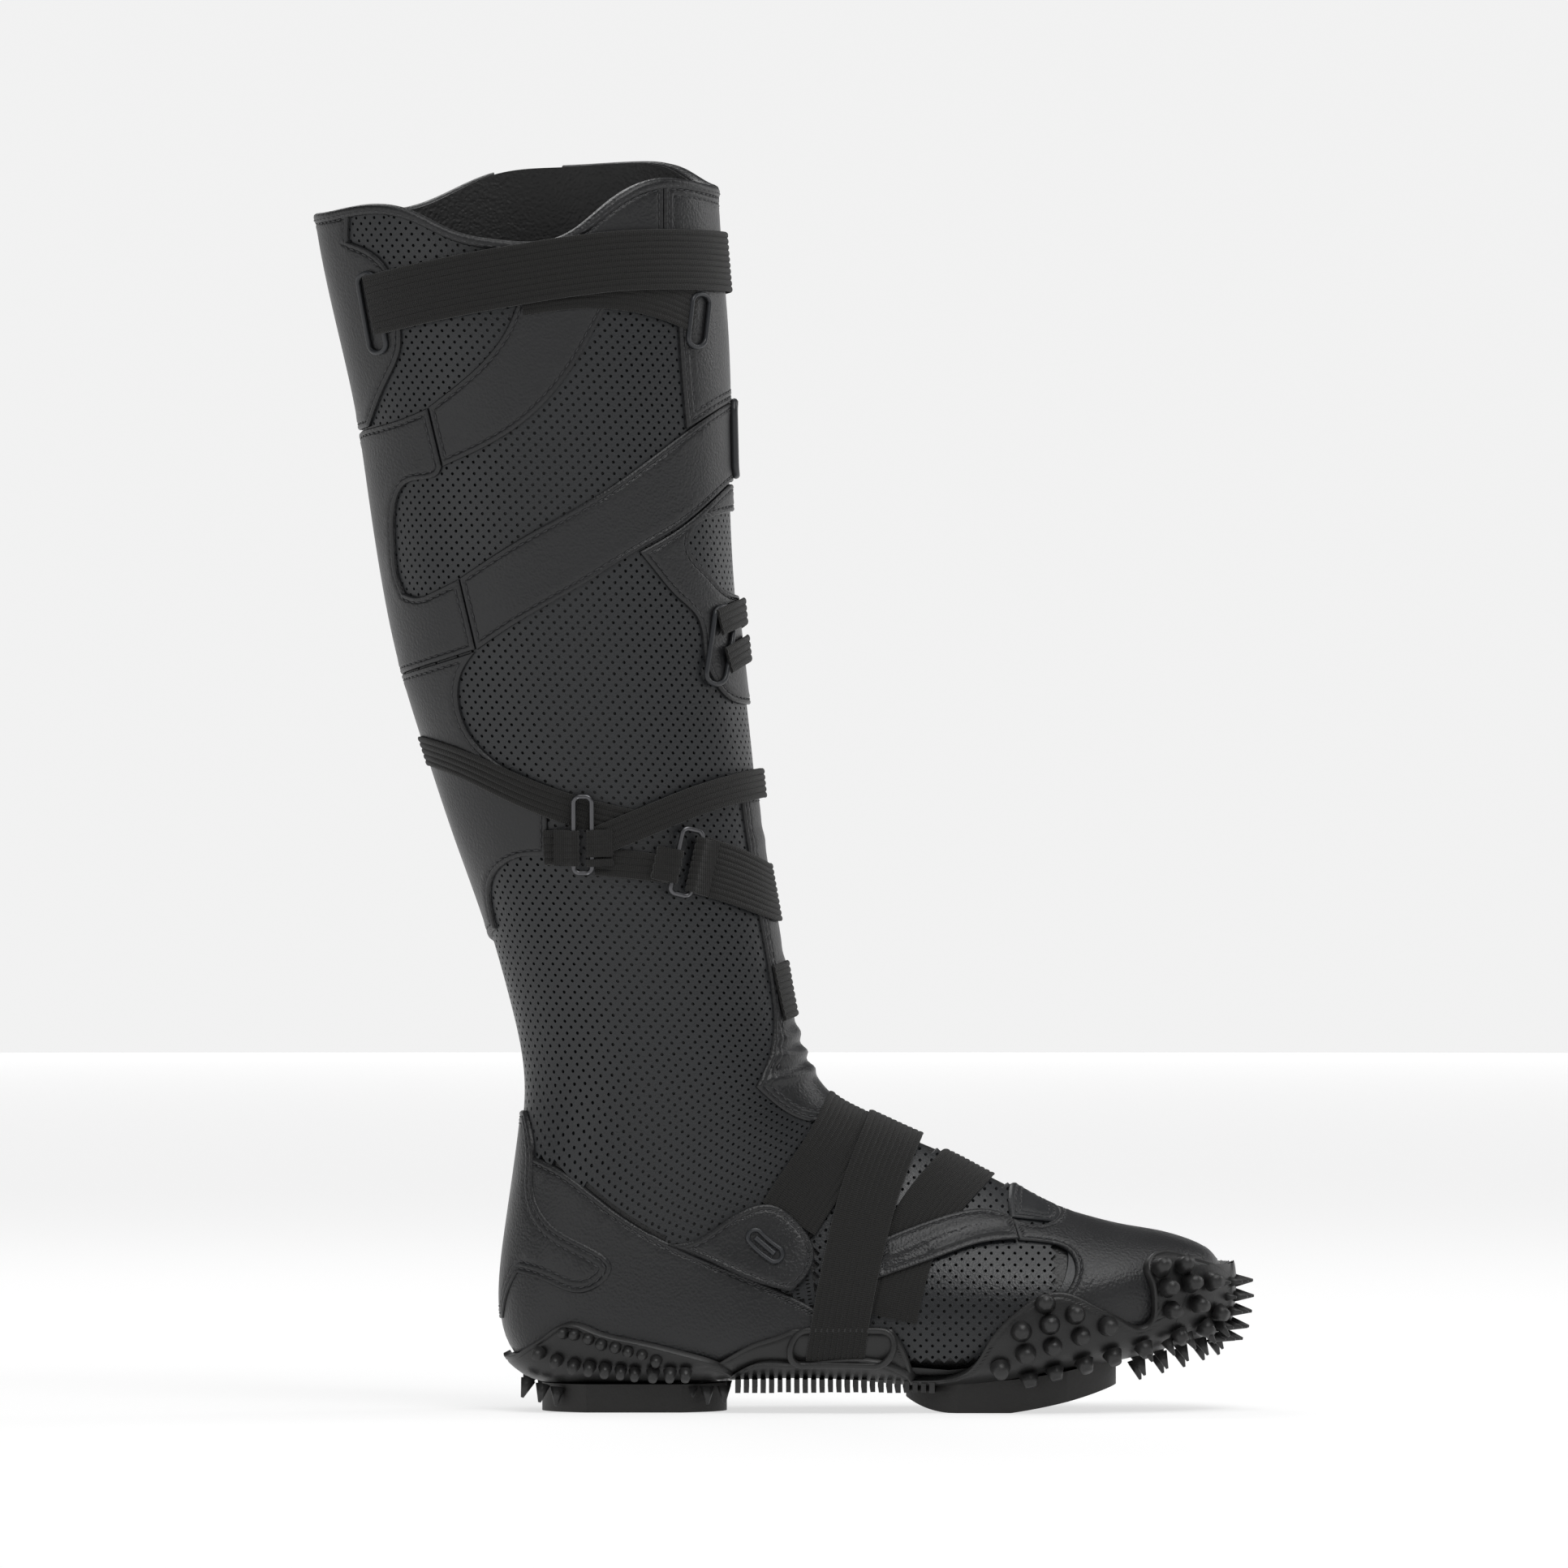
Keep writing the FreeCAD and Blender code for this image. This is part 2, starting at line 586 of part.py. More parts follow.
def clear_of_guards(shape):
    """Overlays that wrap to the medial side stop at the zip guards."""
    zone = ZIP_WINDOW + 11 + LAYER_GAP
    return largest(shape.cut(zip_box(-60, ZIP_LENGTH + 6 + LAYER_GAP, -zone, zone, -25, 25)))


def collar_binding():
    """Folded edge binding over the top of every layer."""
    band = shell(0, OVER_OUT)
    pieces = []
    for side, edge in ((lateral, COLLAR_LATERAL), (medial, COLLAR_MEDIAL)):
        low = [(x, z - BINDING_DEPTH) for x, z in reversed(edge)]
        strip = side(edge, [edge[-1], low[0]], low)
        pieces.append(largest(band.common(strip)))
    return largest(joined(pieces).cut(zip_window()))


# ---------------------------------------------------------------- slot grommets
def slot_outline(centre, length, width, lean, wall):
    """Ring-shaped slot rim as an outer and an inner side-view prism."""
    def rounded(half_length, half_width):
        cx, cz = graded(centre)
        straight = half_length - half_width
        angle = math.radians(lean)
        up = V(-math.sin(angle), 0, math.cos(angle))
        right = V(math.cos(angle), 0, math.sin(angle))
        mid = V(cx, -SIDE, cz)
        a = mid + up * straight - right * half_width
        b = mid + up * straight + right * half_width
        c = mid - up * straight + right * half_width
        d = mid - up * straight - right * half_width
        top = Part.Arc(a, mid + up * half_length, b).toShape()
        low = Part.Arc(c, mid - up * half_length, d).toShape()
        wire = Part.Wire([top, Part.makeLine(b, c), low, Part.makeLine(d, a)])
        return Part.Face(wire).extrude(V(0, SIDE, 0))
    outer = rounded(length / 2, width / 2)
    inner = rounded(length / 2 - wall, width / 2 - wall)
    return outer, inner


def grommet(centre, length, width, lean, wall=1.7):
    outer, inner = slot_outline(centre, length, width, lean, wall)
    return largest(shell(STRAP_IN, STRAP_OUT).common(outer).cut(inner))


def slot_plate(length, width, thick):
    """Plate with round ends, across and along a ring seat's axes."""
    half = width / 2
    straight = length / 2 - half
    top = Part.Arc(V(-half, straight, 0), V(0, straight + half, 0), V(half, straight, 0)).toShape()
    low = Part.Arc(V(half, -straight, 0), V(0, -straight - half, 0), V(-half, -straight, 0)).toShape()
    right = Part.makeLine(V(half, straight, 0), V(half, -straight, 0))
    left = Part.makeLine(V(-half, -straight, 0), V(-half, straight, 0))
    return Part.Face(Part.Wire([top, right, low, left])).extrude(V(0, 0, thick))


def flat_grommet(centre, length, width, lean, wall=1.7):
    """Short slot rim that lies flat on the leather."""
    seat = RingSeat(centre, -lean)
    rim = slot_plate(length, width, WEBBING)
    hole = slot_plate(length - 2 * wall, width - 2 * wall, 3 * WEBBING)
    hole.translate(V(0, 0, -WEBBING))
    rim = rim.cut(hole)
    rim.translate(V(0, 0, STRAP_IN + FLAT_LIFT - RING_LEVEL))
    return seat.placed(rim)


# ---------------------------------------------------------------- elastic straps
def strap_shape(inner, outer, *regions):
    layer = shell(inner, outer)
    pieces = [largest(layer.common(region)) for region in regions]
    if len(pieces) == 1:
        return pieces[0]
    return joined(pieces)


def ribbon(path, width, y0, y1):
    """Prism of a strap of even width along a path in side view."""
    places = [at(p, y0) for p in path]
    normals = []
    for i in range(len(places)):
        before = places[max(i - 1, 0)]
        after = places[min(i + 1, len(places) - 1)]
        direction = (after - before).normalize()
        normals.append(V(-direction.z, 0, direction.x))
    half = width / 2.0
    upper = [p + n * half for p, n in zip(places, normals)]
    lower = [p - n * half for p, n in zip(places, normals)]
    edges = []
    for side in (upper, list(reversed(lower))):
        if len(side) == 2:
            edges.append(Part.makeLine(side[0], side[1]))
        else:
            spline = Part.BSplineCurve()
            spline.interpolate(side)
            edges.append(spline.toShape())
    wire = Part.Wire([edges[0], Part.makeLine(upper[-1], lower[-1]), edges[1],
                      Part.makeLine(lower[0], upper[0])])
    return Part.Face(wire).extrude(V(0, y1 - y0, 0))


def behind_guard():
    """Region of the medial side in front of the zip, where straps may lie."""
    zone = ZIP_WINDOW + 5
    return zip_box(-60, ZIP_LENGTH + 40, -zone, zone, -25, 40)


def strap_calf():
    out = ribbon([(-92.5, 393.5), (-41, 404), (-0.5, 409.5), (32, 410), (60, 409)],
                 CALF_STRAP_WIDTH, -SIDE, 0)
    back = ribbon([(60, 409), (32, 410), (0, 404), (-30, 396)], CALF_STRAP_WIDTH, 0, SIDE)
    body = strap_shape(STRAP2_IN, STRAP2_OUT, out, back)
    return largest(body.cut(behind_guard()))


def shin_elastic(low, high):
    front = ribbon([low, high, (60, high[1] - 6)], SHIN_ELASTIC_WIDTH, -SIDE, 0)
    back = ribbon([(60, high[1] - 6), high, (16, high[1] - 14)], SHIN_ELASTIC_WIDTH, 0, SIDE)
    body = strap_shape(STRAP2_IN, STRAP2_OUT, front, back)
    return largest(body.cut(behind_guard()))


def shin_elastics():
    upper = shin_elastic((29, 281), (38, 285.5))
    lower = shin_elastic((32, 267.5), (41, 273))
    return Part.makeCompound([upper, lower])


def instep_strap(path, width, inner, outer):
    return largest(shell(inner, outer).common(ribbon(path, width, -SIDE, SIDE)))


def strap_instep_rear():
    return instep_strap([(84, 122), (78.5, 109), (71, 93), (59.5, 76)], INSTEP_STRAP_WIDTH - 3,
                        STRAP_IN, STRAP_OUT)


STRAP_B = [(98, 116), (90.5, 101), (84.5, 83), (79, 62), (75, 40), (73, 21)]


def strap_instep_middle():
    return instep_strap(STRAP_B, INSTEP_STRAP_WIDTH - 4, STRAP2_IN, STRAP2_OUT)


def strap_instep_front():
    return instep_strap([(127, 100), (120, 88), (108, 76), (99, 62), (94, 48), (90, 32)],
                        INSTEP_STRAP_WIDTH - 6, STRAP_IN, STRAP_OUT)


# ---------------------------------------------------------------- rings and their loops
class RingSeat:
    """Axes at a ring: across the bars, along them, and out from the leg."""

    def __init__(self, centre, tilt):
        x, z = graded(centre)
        self.centre, self.out = side_point(x, z, RING_LEVEL, -1)
        angle = math.radians(tilt)
        along = V(math.sin(angle), 0, math.cos(angle))
        along = (along - self.out * along.dot(self.out)).normalize()
        self.along = along
        self.over = along.cross(self.out).normalize()

    def placed(self, shape):
        matrix = FreeCAD.Matrix(
            self.over.x, self.along.x, self.out.x, self.centre.x,
            self.over.y, self.along.y, self.out.y, self.centre.y,
            self.over.z, self.along.z, self.out.z, self.centre.z,
            0, 0, 0, 1)
        result = shape.copy()
        result.Placement = FreeCAD.Placement(matrix).multiply(shape.Placement)
        return result


REAR_SEAT = RingSeat((-18, 205.5), 0)
FRONT_SEAT = RingSeat((18.8, 195.8), FRONT_RING_TILT)
REAR_BAR = (REAR_RING_WIDTH - RING_WIRE) / 2
FRONT_BAR = (FRONT_RING_WIDTH - RING_WIRE) / 2


def wire_ring(seat, width, height):
    """Rounded rectangular ring bent from round wire."""
    r = RING_WIRE / 2
    corner = 2.2
    hx = width / 2 - r
    hy = height / 2 - r
    edges = []
    signs = [(1, 1), (-1, 1), (-1, -1), (1, -1)]
    starts = []
    for sx, sy in signs:
        centre = V(sx * (hx - corner), sy * (hy - corner), 0)
        first = math.degrees(math.atan2(sy, sx)) - 45
        a = math.radians(first)
        b = math.radians(first + 45)
        c = math.radians(first + 90)
        points = [centre + V(math.cos(t), math.sin(t), 0) * corner for t in (a, b, c)]
        starts.append(points)
    for i in range(4):
        points = starts[i]
        following = starts[(i + 1) % 4]
        edges.append(Part.Arc(*points).toShape())
        edges.append(Part.makeLine(points[2], following[0]))
    path = Part.Wire(edges)
    start = edges[0].Vertexes[0].Point
    tangent = edges[0].tangentAt(edges[0].FirstParameter)
    profile = Part.Wire(Part.makeCircle(r, start, tangent))
    ring = path.makePipeShell([profile], True, True, 2)
    return seat.placed(ring)


def loop_block(seat, bar, v0, v1, half_across, half_out):
    """Elliptical rod about a ring bar, in ring axes."""
    if half_out >= half_across:
        rim = Part.Ellipse(V(0, 0, 0), half_out, half_across).toShape()
        rim.rotate(V(0, 0, 0), V(0, 0, 1), 90)
    else:
        rim = Part.Ellipse(V(0, 0, 0), half_across, half_out).toShape()
    rod = Part.Face(Part.Wire(rim)).extrude(V(0, 0, v1 - v0))
    rod.rotate(V(0, 0, 0), V(1, 0, 0), -90)
    rod.translate(V(bar, v0, 0))
    return seat.placed(rod)


def looped(strip, loops):
    """Add a sewn loop to a strip at each ring bar it holds."""
    r = RING_WIRE / 2
    body = strip
    for seat, bar, v0, v1 in loops:
        outer = loop_block(seat, bar, v0, v1, r + LOOP_CLEARANCE + LOOP_WALL, r + LOOP_LIFT + LOOP_WALL)
        body = body.fuse(outer)
    for seat, bar, v0, v1 in loops:
        hole = loop_block(seat, bar, v0 - 6, v1 + 6, r + LOOP_CLEARANCE, r + LOOP_LIFT)
        body = body.cut(hole)
    return largest(body)


def ring_tab():
    strip = strap_shape(STRAP_IN, STRAP_OUT,
                        lateral([(-32, 207.3), (-21.5, 207.3)], [(-21.5, 207.3), (-21.5, 194.5)],
                                [(-21.5, 194.5), (-32, 194.5)]))
    return looped(strip, [(REAR_SEAT, -REAR_BAR, -11, 1.8)])


def strap_cross_upper():
    outer = ribbon([(-95, 238), (-72, 234), (-41, 221.5), (-19, 213.5), (2, 208.5)], CROSS_STRAP_WIDTH,
                   -SIDE, 0)
    inner = ribbon([(-95, 238), (-72, 234), (-45, 229)], CROSS_STRAP_WIDTH, 0, SIDE)
    body = strap_shape(STRAP_IN, STRAP_OUT, outer, inner)
    return largest(body.cut(behind_guard()))


def strap_cross_lower():
    outer = ribbon([(-14.5, 202.6), (4, 210.3), (18, 216.3), (30, 220.5), (46, 224.5), (70, 228)],
                   CROSS_STRAP_WIDTH, -SIDE, 0)
    inner = ribbon([(70, 228), (46, 224.5), (20, 219)], CROSS_STRAP_WIDTH, 0, SIDE)
    body = strap_shape(STRAP2_IN, STRAP2_OUT, outer, inner)
    body = largest(body.cut(behind_guard()))
    return looped(body, [(REAR_SEAT, REAR_BAR, -7.8, 1.8)])


def strap_link():
    top = [(-14.4, 197), (1, 200), (12, 200), (16.5, 199)]
    low = [(13, 186), (1, 189), (-14.4, 194.4)]
    strip = strap_shape(STRAP_IN, STRAP_OUT, lateral(top, [(16.5, 199), (13, 186)], low))
    return looped(strip, [(REAR_SEAT, REAR_BAR, -11.2, -8.6), (FRONT_SEAT, -FRONT_BAR, -8.5, 3.5)])


def strap_ankle():
    outer = ribbon([(22.5, 195), (34, 191.5), (46, 186), (58, 180), (80, 172)], ANKLE_STRAP_WIDTH, -SIDE, 0)
    inner = ribbon([(80, 172), (58, 180), (46, 182), (10, 176)], ANKLE_STRAP_WIDTH, 0, SIDE)
    body = strap_shape(STRAP_IN, STRAP_OUT, outer, inner)
    body = largest(body.cut(behind_guard()))
    half = ANKLE_STRAP_WIDTH / 2 - 0.6
    return looped(body, [(FRONT_SEAT, FRONT_BAR, -half, half)])


# ---------------------------------------------------------------- zip
def zip_tape():
    sides = []
    for sign in (-1, 1):
        edges = sorted((sign * CHAIN_SPLIT / 2, sign * TAPE_HALF))
        sides.append(zip_box(-2, ZIP_LENGTH, edges[0], edges[1], -TAPE_THICK / 2, TAPE_THICK / 2))
    bridge = zip_box(ZIP_LENGTH, ZIP_LENGTH + 3, -TAPE_HALF, TAPE_HALF, -TAPE_THICK / 2, TAPE_THICK / 2)
    return joined(sides + [bridge])


def zip_chain():
    """Two rows of teeth on the tape, closed by a stop at the foot."""
    base = TAPE_THICK / 2
    rows = []
    for sign in (-1, 1):
        edges = sorted((sign * CHAIN_SPLIT / 2, sign * (CHAIN_SPLIT / 2 + CHAIN_WIDTH)))
        cord = zip_box(0, ZIP_LENGTH - 4, edges[0], edges[1], base, base + CHAIN_THICK * 0.6)
        rows.append(cord)
    stop = zip_box(ZIP_LENGTH - 4, ZIP_LENGTH, -CHAIN_WIDTH - 1, CHAIN_WIDTH + 1, base, base + CHAIN_THICK)
    return joined(rows + [stop])


SLIDER_TOP = TAPE_THICK / 2 + CHAIN_THICK + SLIDER_CLEARANCE
SLIDER_LOW = -TAPE_THICK / 2 - SLIDER_CLEARANCE
HUB_WALL = 0.55             # round the puller's eye
PIN_LEVEL = SLIDER_TOP + SLIDER_PLATE + PULLER_PIN + HUB_WALL + LAYER_GAP
PIN_D = SLIDER_START - 2.0


def zip_slider():
    half = SLIDER_WIDTH / 2
    d0 = SLIDER_START - SLIDER_LENGTH / 2
    d1 = SLIDER_START + SLIDER_LENGTH / 2
    cover = zip_box(d0, d1, -half, half, SLIDER_TOP, SLIDER_TOP + SLIDER_PLATE)
    under = zip_box(d0, d1, -half, half, SLIDER_LOW - SLIDER_PLATE, SLIDER_LOW)
    post_half = CHAIN_SPLIT / 2 - SLIDER_CLEARANCE + 0.05
    post = zip_box(d0, d0 + 4, -post_half, post_half, SLIDER_LOW - 0.1, SLIDER_TOP + 0.1)
    pieces = [cover, under, post]
    flange = CHAIN_SPLIT / 2 + CHAIN_WIDTH + SLIDER_CLEARANCE
    for sign in (-1, 1):
        edges = sorted((sign * flange, sign * half))
        pieces.append(zip_box(d0, d1, edges[0], edges[1], TAPE_THICK / 2 + SLIDER_CLEARANCE, SLIDER_TOP + 0.1))
        ears = sorted((sign * (PULLER_WIDTH / 2 - 1.6), sign * (PULLER_WIDTH / 2 - 2.6)))
        pieces.append(zip_box(PIN_D - 1.6, PIN_D + 1.6, ears[0], ears[1], SLIDER_TOP + SLIDER_PLATE - 0.1,
                              PIN_LEVEL + PULLER_PIN + 0.6))
    pin = Part.makeCylinder(PULLER_PIN, PULLER_WIDTH - 3.4, V(PIN_D, -(PULLER_WIDTH - 3.4) / 2, PIN_LEVEL),
                            V(0, 1, 0))
    pieces.append(zip_placed(pin))
    return joined(pieces)


def zip_puller():
    """Flat puller with a fork that turns on the slider's bar."""
    eye = PULLER_PIN + 0.06
    clear = 0.3
    tongue = (PULLER_WIDTH / 2 - 2.6 - clear)
    n0 = PIN_LEVEL - PULLER_THICK / 2
    n1 = PIN_LEVEL + PULLER_THICK / 2
    hub = Part.makeCylinder(eye + HUB_WALL, 2 * tongue, V(PIN_D, -tongue, PIN_LEVEL), V(0, 1, 0))
    hub = zip_placed(hub)
    neck = zip_box(PIN_D, PIN_D + 6, -tongue, tongue, n0, n1)
    grip = zip_box(PIN_D + 3.5, PIN_D + PULLER_LENGTH, -PULLER_WIDTH / 2, PULLER_WIDTH / 2, n0, n1)
    body = joined([hub, neck, grip])
    bore = zip_placed(Part.makeCylinder(eye, 20, V(PIN_D, -10, PIN_LEVEL), V(0, 1, 0)))
    window = zip_box(PIN_D + 9, PIN_D + PULLER_LENGTH - 5, -1.6, 1.6, n0 - 1, n1 + 1)
    return largest(body.cut(bore).cut(window))


def zip_underlap():
    """Soft strip inside the leg, behind the zip."""
    level = SLIDER_LOW - SLIDER_PLATE - LAYER_GAP * 2
    return zip_box(2, ZIP_LENGTH, -ZIP_WINDOW + 1, ZIP_WINDOW - 1, level - 0.8, level)


# ---------------------------------------------------------------- sole unit
WRAP_HEEL = [(-70, 21), (-45, 22), (-36.5, 24.5), (-26, 31.5), (-20.5, 32.5), (-13.5, 30), (2.5, 26),
             (19, 22), (29, 18.5), (38, 14)]
WRAP_FORE = [(100, 14), (119, 16), (127, 28), (134.5, 35.5), (142.5, 41), (150, 43), (162.5, 39), (180.5, 32)]
WRAP_TOE = [(180.5, 32), (184, 38), (181.5, 50), (186, 56), (196, 54), (212, 49), (240, 44)]
SADDLE_REAR_EDGE = [(31, 10), (33, 17), (42, 23), (54, 29)]
SADDLE_REAR = 57.0
SADDLE_FRONT = 94.0


def saddle_under(gap):
    """Side view of the saddle's band under the arch, grown by a clearance."""
    rear = SADDLE_REAR - gap
    front = SADDLE_FRONT + gap
    return across([(rear, 34), (rear, -20)], [(rear, -20), (front, -20)], [(front, -20), (front, 34)])


SADDLE_BAND = 1.2


def outsole_region(rise=0.0):
    """Side view of everything that the outsole's walls cover."""
    def raised(points):
        return [(x, z + rise) for x, z in points]
    return across(raised(WRAP_HEEL), raised([(38, 14), (100, 14)]), raised(WRAP_FORE), raised(WRAP_TOE),
                  [(240, 44 + rise), (240, -30)], [(240, -30), (-70, -30)])


def outsole():
    body = shell(SOLE_IN, SOLE_OUT).common(outsole_region())
    seat = form(SOLE_IN + SADDLE_BAND + LAYER_GAP).common(saddle_under(LAYER_GAP))
    return largest(body.cut(seat))


def saddle():
    """Arch plate with a pocket on each side for the middle instep strap."""
    band = shell(SOLE_IN, SOLE_IN + SADDLE_BAND).common(saddle_under(0))
    band = band.common(across([(0, 29), (150, 29)], [(150, 29), (150, -30)], [(150, -30), (0, -30)]))
    rim = across(SADDLE_REAR_EDGE, [(54, 29), (94, 29)], [(94, 29), (97, 10)])
    sides = shell(SOLE_IN, SADDLE_OUT).common(rim.cut(outsole_region(LAYER_GAP)))
    body = joined([largest(band)] + [s for s in sides.Solids if s.Volume > 50])
    pocket = ribbon(STRAP_B, INSTEP_STRAP_WIDTH - 4 + 1.2, -SIDE, SIDE)
    room = shell(STRAP2_IN - LAYER_GAP, STRAP2_OUT + LAYER_GAP).common(pocket)
    return largest(body.cut(room))


def midsole():
    body = shell(OVER_IN, OVER_OUT).common(sole_line(4.5))
    slot = Part.makeBox(*shank_size(LAYER_GAP))
    return largest(body.cut(slot))


def shank_size(gap):
    start = at((-6, 0)).x
    end = at((96, 0)).x
    half = 7.0
    return end - start + 2 * gap, 2 * (half + gap), 60, V(start - gap, -half - gap, -20)


def shank():
    layer = shell(OVER_IN, OVER_OUT)
    return largest(layer.common(Part.makeBox(*shank_size(0))).common(sole_line(6)))


def lasting_board():
    return largest(shell(STIFF_IN, STIFF_OUT).common(sole_line(4.0)))


def footbed():
    return largest(form(-LAYER_GAP).common(sole_line(OVER_OUT + FOOTBED_THICK)))


def heel_stiffener():
    """Moulded counter that cups the heel between lining and leather."""
    region = across([(-80, 72), (-40, 72), (-22, 66), (-5, 48), (10, 22)], [(10, 22), (10, -20)],
                    [(10, -20), (-80, -20)])
    return largest(shell(STIFF_IN, STIFF_OUT).common(region).cut(sole_line(4.0 + LAYER_GAP)))


def toe_puff():
    region = across([(170, 90), (170, -20)], [(170, -20), (260, -20)], [(260, -20), (260, 90)])
    return largest(shell(STIFF_IN, STIFF_OUT).common(region).cut(sole_line(4.0 + LAYER_GAP)))


def plan_block(half_width, rear, front, lead, z0, z1):
    """Upright block with rounded ends in plan."""
    a = V(rear + lead, -half_width, z0)
    b = V(front - lead, -half_width, z0)
    c = V(front, 0, z0)
    d = V(front - lead, half_width, z0)
    e = V(rear + lead, half_width, z0)
    f = V(rear, 0, z0)
    wire = Part.Wire([Part.makeLine(a, b), Part.Arc(b, c, d).toShape(), Part.makeLine(d, e),
                      Part.Arc(e, f, a).toShape()])
    return Part.Face(wire).extrude(V(0, 0, z1 - z0))


def heel_pad():
    half = HEEL_PAD_LENGTH / 2
    block = plan_block(HEEL_PAD_HALF_WIDTH, -half, half, 16, 0, 10)
    return largest(block.cut(form(SOLE_OUT)))


def fore_pad():
    start = at((97, 0)).x
    end = at((172, 0)).x
    block = plan_block(FORE_PAD_HALF_WIDTH, start, end, 18, 0, 26)
    side = prism([[(97, 5), (105, 1.2), (112, 0)], [(112, 0), (134, 0)], [(134, 0), (150, 3), (172, 9.5)],
                  [(172, 9.5), (172, 19.5)], [(172, 19.5), (140, 12.5), (97, 11.5)]])
    return largest(block.common(side).cut(form(SOLE_OUT)))


def cone_on_wall(place, base, height, side, tip):
    x, z = graded(place)
    point, normal = side_point(x, z, SOLE_OUT, side)
    sink = 0.9
    return Part.makeCone(base, tip, height + sink, point - normal * sink, normal)


def heel_studs():
    solids = []
    for side in (-1, 1):
        for row in HEEL_STUD_ROWS:
            for place in row:
                solids.append(cone_on_wall(place, STUD_BASE, STUD_HEIGHT, side, 0.9))
        for place in HEEL_SPIKES:
            solids.append(cone_on_wall(place, SPIKE_BASE, SPIKE_HEIGHT, side, 1.0))
    return Part.makeCompound(solids)


def toe_studs():
    solids = []
    for side in (-1, 1):
        for place in TOE_STUDS:
            solids.append(cone_on_wall(place, TOE_STUD_BASE, TOE_STUD_HEIGHT, side, 1.7))
    return Part.makeCompound(solids)


def arch_ribs():
    """Cross ribs under the arch, between the two pads."""
    solids = []
    for i in range(ARCH_RIBS):
        x = at((40 + 5.2 * i, 0)).x
        rib = Part.makeBox(2.6, 52, 12, V(x, -26, 6.6))
        solids.append(largest(rib.cut(form(SOLE_OUT))))
    return Part.makeCompound(solids)


# ---------------------------------------------------------------- build
NODES = {
    "lining": lining,
    "leg_lateral": leg_lateral,
    "leg_medial_front": lambda: leg_medial(True),
    "leg_medial_rear": lambda: leg_medial(False),
    "flex_panel_front": flex_panel,
    "vamp": vamp,
    "toe_box": toe_box,
    "heel_quarter": heel_quarter,
    "rear_calf_panel": lambda: clear_of_guards(rear_calf_panel()),
    "front_placket": lambda: clear_of_guards(front_placket()),
    "collar_panel": collar_panel,
    "swirl_band": swirl_band,
    "rear_mid_panel": lambda: clear_of_guards(rear_mid_panel()),
    "diagonal_band": lambda: clear_of_guards(diagonal_band()),
    "knee_overlay": knee_overlay,
    "lower_back_panel": lambda: clear_of_guards(lower_back_panel()),
    "heel_overlay": heel_overlay,
    "ankle_wing": ankle_wing,
    "side_band": side_band,
    "throat_end": throat_end,
    "toe_cap": toe_cap,
    "medial_side_panel": lambda: clear_of_guards(medial_side_panel()),
    "collar_binding": collar_binding,
    "zip_guard_front": lambda: zip_guard(True),
    "zip_guard_rear": lambda: zip_guard(False),
    "grommet_calf_rear": lambda: grommet((-92.5, 391), 30, 7.5, 10),
    "grommet_calf_front": lambda: flat_grommet((22.5, 388.5), 20, 7.5, -6),
    "grommet_shin": lambda: grommet((30.2, 273), 29.5, 8.4, -8),
    "ankle_pill": lambda: grommet((46.5, 59.5), 16, 6.5, 50, 1.6),
    "strap_calf": strap_calf,
    "shin_elastics": shin_elastics,
    "strap_cross_upper": strap_cross_upper,
    "strap_cross_lower": strap_cross_lower,
    "strap_link": strap_link,
    "strap_ankle": strap_ankle,
    "ring_tab": ring_tab,
    "ring_rear": lambda: wire_ring(REAR_SEAT, REAR_RING_WIDTH, REAR_RING_HEIGHT),
    "ring_front": lambda: wire_ring(FRONT_SEAT, FRONT_RING_WIDTH, FRONT_RING_HEIGHT),
    "strap_instep_rear": strap_instep_rear,
    "strap_instep_middle": strap_instep_middle,
    "strap_instep_front": strap_instep_front,
    "zip_tape": zip_tape,
    "zip_chain": zip_chain,
    "zip_slider": zip_slider,
    "zip_puller": zip_puller,
    "zip_underlap": zip_underlap,
    "outsole": outsole,
    "midsole": midsole,
    "saddle": saddle,
    "heel_pad": heel_pad,
    "forefoot_pad": fore_pad,
    "heel_studs": heel_studs,
    "toe_studs": toe_studs,
    "arch_ribs": arch_ribs,
    "footbed": footbed,
    "lasting_board": lasting_board,
    "shank": shank,
    "heel_stiffener": heel_stiffener,
    "toe_puff": toe_puff,
}


def metres(vector):
    return [round(c / 1000.0, 6) for c in vector]


def main():
    os.makedirs("parts", exist_ok=True)
    for name, make in NODES.items():
        shape = make()
        solids = shape.Solids
        assert solids and all(s.isClosed() and s.Volume > 0 for s in solids), name
        shape.exportStep("parts/%s.step" % name)
        print("%-20s %3d solids %9.1f mm3 valid %s" % (
            name, len(solids), sum(s.Volume for s in solids), shape.isValid()))
    print("zip slide axis", metres(ZIP_DOWN * 1000))
    pin = ZIP_ORIGIN + ZIP_DOWN * PIN_D + ZIP_OUT * PIN_LEVEL
    print("puller hinge", metres(pin), metres(ZIP_DOWN.cross(ZIP_OUT) * 1000))
    for label, seat, bar in (("rear", REAR_SEAT, REAR_BAR), ("front", FRONT_SEAT, FRONT_BAR)):
        print(label, "ring hinge", metres(seat.centre - seat.over * bar), metres(seat.along * 1000))


main()
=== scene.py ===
"""A tall leather riding boot: its looks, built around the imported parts."""

import math

import bpy
import numpy as np
from bpy.props import FloatProperty, IntProperty, PointerProperty
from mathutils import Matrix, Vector
from mathutils.geometry import delaunay_2d_cdt


